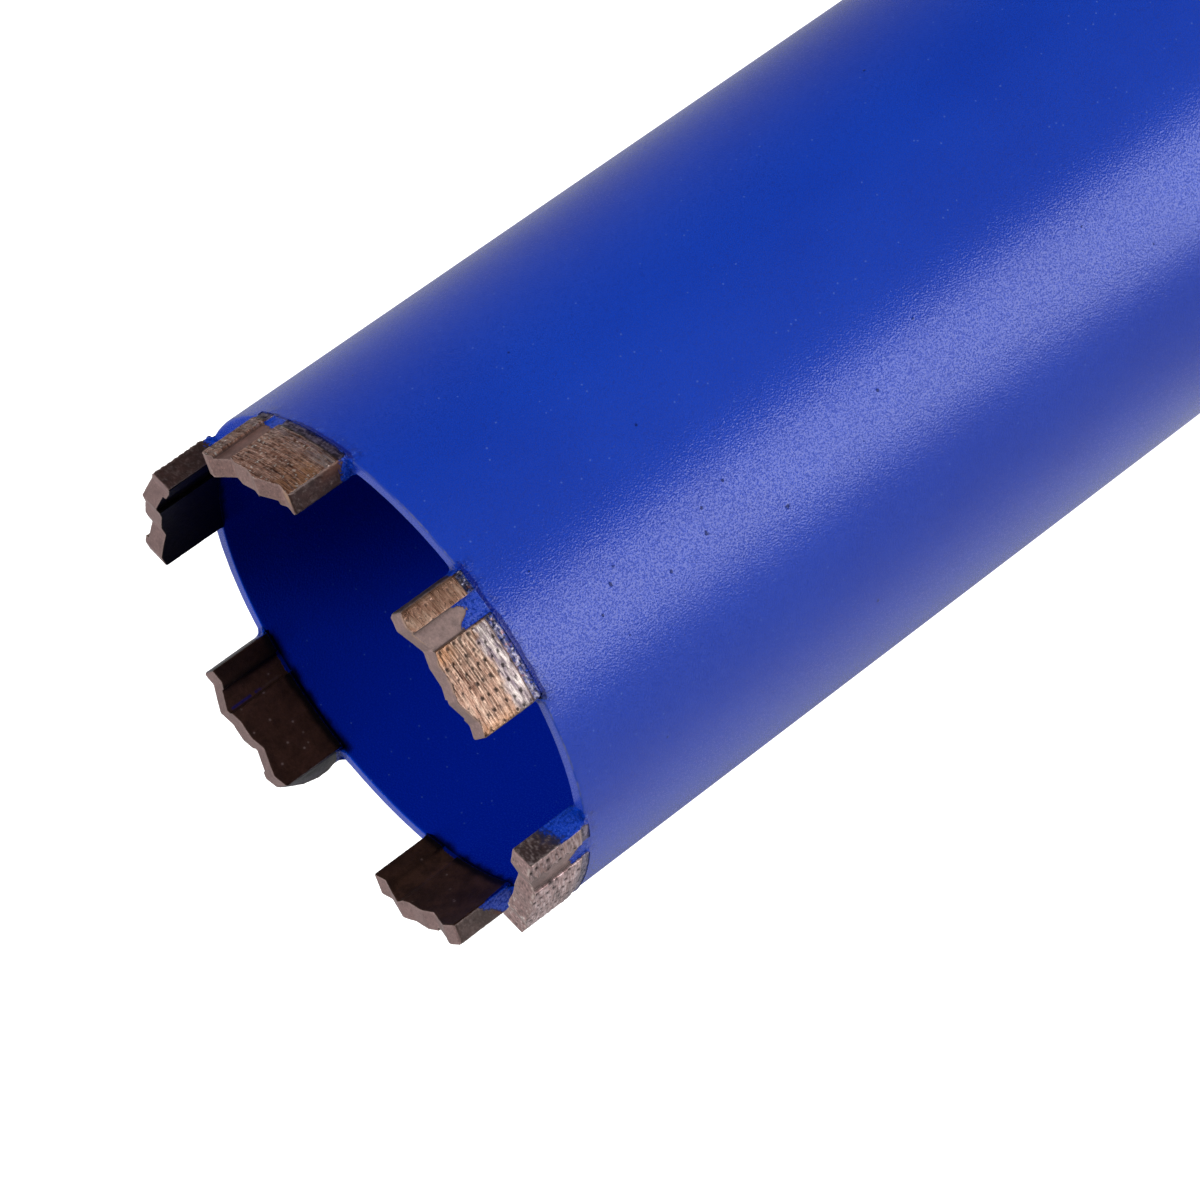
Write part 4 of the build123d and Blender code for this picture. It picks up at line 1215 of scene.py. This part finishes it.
def studio_card(name, z, stops, top, gloss):
    """A card lying round the tool, bright or dark by direction; it lights the tool from below and isn't itself seen."""
    ob = flat_disc(name, 0.0425, 4.0, z, 128, 5)
    m = Net(name)
    sp = m.node("ShaderNodeSeparateXYZ")
    m.put(m.obj(), sp.inputs[0])
    az = m.remap(m.math("ARCTAN2", sp.outputs[1], sp.outputs[0]), -math.pi, math.pi, 0.0, 1.0, smooth=False)
    col = m.ramp(az, [(((d + 180.0) % 360.0) / 360.0, (v / top,) * 3) for d, v in stops])
    em = m.node("ShaderNodeEmission")
    m.put(col, em.inputs["Color"])
    em.inputs["Strength"].default_value = top
    hold = m.node("ShaderNodeBsdfTransparent")
    geo = m.node("ShaderNodeNewGeometry")
    mx = m.node("ShaderNodeMixShader")
    m.nt.links.new(geo.outputs["Backfacing"], mx.inputs[0])
    m.nt.links.new(em.outputs[0], mx.inputs[1])
    m.nt.links.new(hold.outputs[0], mx.inputs[2])
    m.nt.links.new(mx.outputs[0], m.out.inputs["Surface"])
    ob.data.materials.append(m.mat)
    m.mat.cycles.emission_sampling = "NONE"
    ob.visible_camera = False
    ob.visible_diffuse = not gloss
    ob.visible_glossy = gloss
    ob.visible_shadow = False
    ob.visible_transmission = False
    ob.visible_volume_scatter = False
    return ob


GLOSS = [(-180, 0.34), (-162, 0.42), (-142, 0.54), (-128, 0.45), (-112, 0.30), (-96, 0.22), (-80, 0.45), (-62, 0.65), (-42, 0.79), (-22, 0.60),
         (-2, 0.46), (16, 0.55), (26, 4.3), (53, 4.3), (60, 0.24), (70, 0.03), (124, 0.02), (158, 0.24), (179.9, 0.34)]
DIFF = [(d, max(0.0, 0.95 + 0.93 * math.cos(math.radians(d - 20)))) for d in range(-180, 180, 24)] + [(179.9, 0.95 + 0.93 * math.cos(math.radians(160)))]
DIFF = [(d, max(0.0, v)) for d, v in DIFF]
gloss_card = studio_card("card_gloss", 0.0012, GLOSS, 4.3, True)
fill_card = studio_card("card_fill", 0.0016, DIFF, 1.9, False)

world = bpy.data.worlds.new("studio")
scene.world = world
world.use_nodes = True
wt = world.node_tree
wt.nodes.clear()
wo = wt.nodes.new("ShaderNodeOutputWorld")
lp = wt.nodes.new("ShaderNodeLightPath")
mixw = wt.nodes.new("ShaderNodeMixShader")
bg_cam = wt.nodes.new("ShaderNodeBackground")
bg_cam.inputs["Color"].default_value = (1, 1, 1, 1)
bg_cam.inputs["Strength"].default_value = 1.0
bg_lit = wt.nodes.new("ShaderNodeBackground")
tc = wt.nodes.new("ShaderNodeTexCoord")
dot = wt.nodes.new("ShaderNodeVectorMath")
dot.operation = "DOT_PRODUCT"
a = math.radians(248)
el = math.radians(22)
dot.inputs[1].default_value = (math.cos(a) * math.cos(el), math.sin(a) * math.cos(el), math.sin(el))
wt.links.new(tc.outputs["Generated"], dot.inputs[0])
mr = wt.nodes.new("ShaderNodeMapRange")
mr.interpolation_type = "SMOOTHSTEP"
mr.inputs["From Min"].default_value = 0.35
mr.inputs["From Max"].default_value = 0.97
mr.inputs["To Min"].default_value = 0.03
mr.inputs["To Max"].default_value = 0.62
wt.links.new(dot.outputs["Value"], mr.inputs["Value"])
wt.links.new(mr.outputs["Result"], bg_lit.inputs["Strength"])
wt.links.new(lp.outputs["Is Camera Ray"], mixw.inputs[0])
wt.links.new(bg_lit.outputs[0], mixw.inputs[1])
wt.links.new(bg_cam.outputs[0], mixw.inputs[2])
wt.links.new(mixw.outputs[0], wo.inputs["Surface"])


def sun(name, az_deg, el_deg, strength, angle_deg):
    ld = bpy.data.lights.new(name, "SUN")
    ld.energy = strength
    ld.angle = math.radians(angle_deg)
    ob = bpy.data.objects.new(name, ld)
    a_, e_ = math.radians(az_deg), math.radians(el_deg)
    d = Vector((math.cos(a_) * math.cos(e_), math.sin(a_) * math.cos(e_), math.sin(e_)))
    ob.rotation_mode = "QUATERNION"
    ob.rotation_quaternion = d.to_track_quat("Z", "Y")
    ob.location = d * 2
    scene.collection.objects.link(ob)
    return ob


top_light = sun("top_soft", 0, 90, 1.9, 24)
key_light = sun("key_soft", 110, 40, 1.75, 22)
top_light.visible_glossy = False
key_light.visible_glossy = False

cam_data = bpy.data.cameras.new("camera")
cam_data.sensor_width = 36.0
cam_data.sensor_fit = "HORIZONTAL"
cam_data.lens = 145.230351
cam_data.clip_start = 0.02
cam_data.clip_end = 60.0
cam = bpy.data.objects.new("camera", cam_data)
right = Vector((0.66586288, 0.07064658, -0.74272181))
upv = Vector((-0.66157623, 0.51609545, -0.54402425))
back = Vector((0.34488189, 0.85361264, 0.39038690))
pos = Vector((0.24260469, 0.57388673, 0.40372007))
cam.matrix_world = Matrix(((right.x, upv.x, back.x, pos.x), (right.y, upv.y, back.y, pos.y), (right.z, upv.z, back.z, pos.z), (0, 0, 0, 1)))
scene.collection.objects.link(cam)
scene.camera = cam

scene.view_settings.view_transform = "Standard"
scene.view_settings.look = "None"
scene.view_settings.exposure = 0.0
scene.view_settings.gamma = 1.0

bpy.context.view_layer.update()
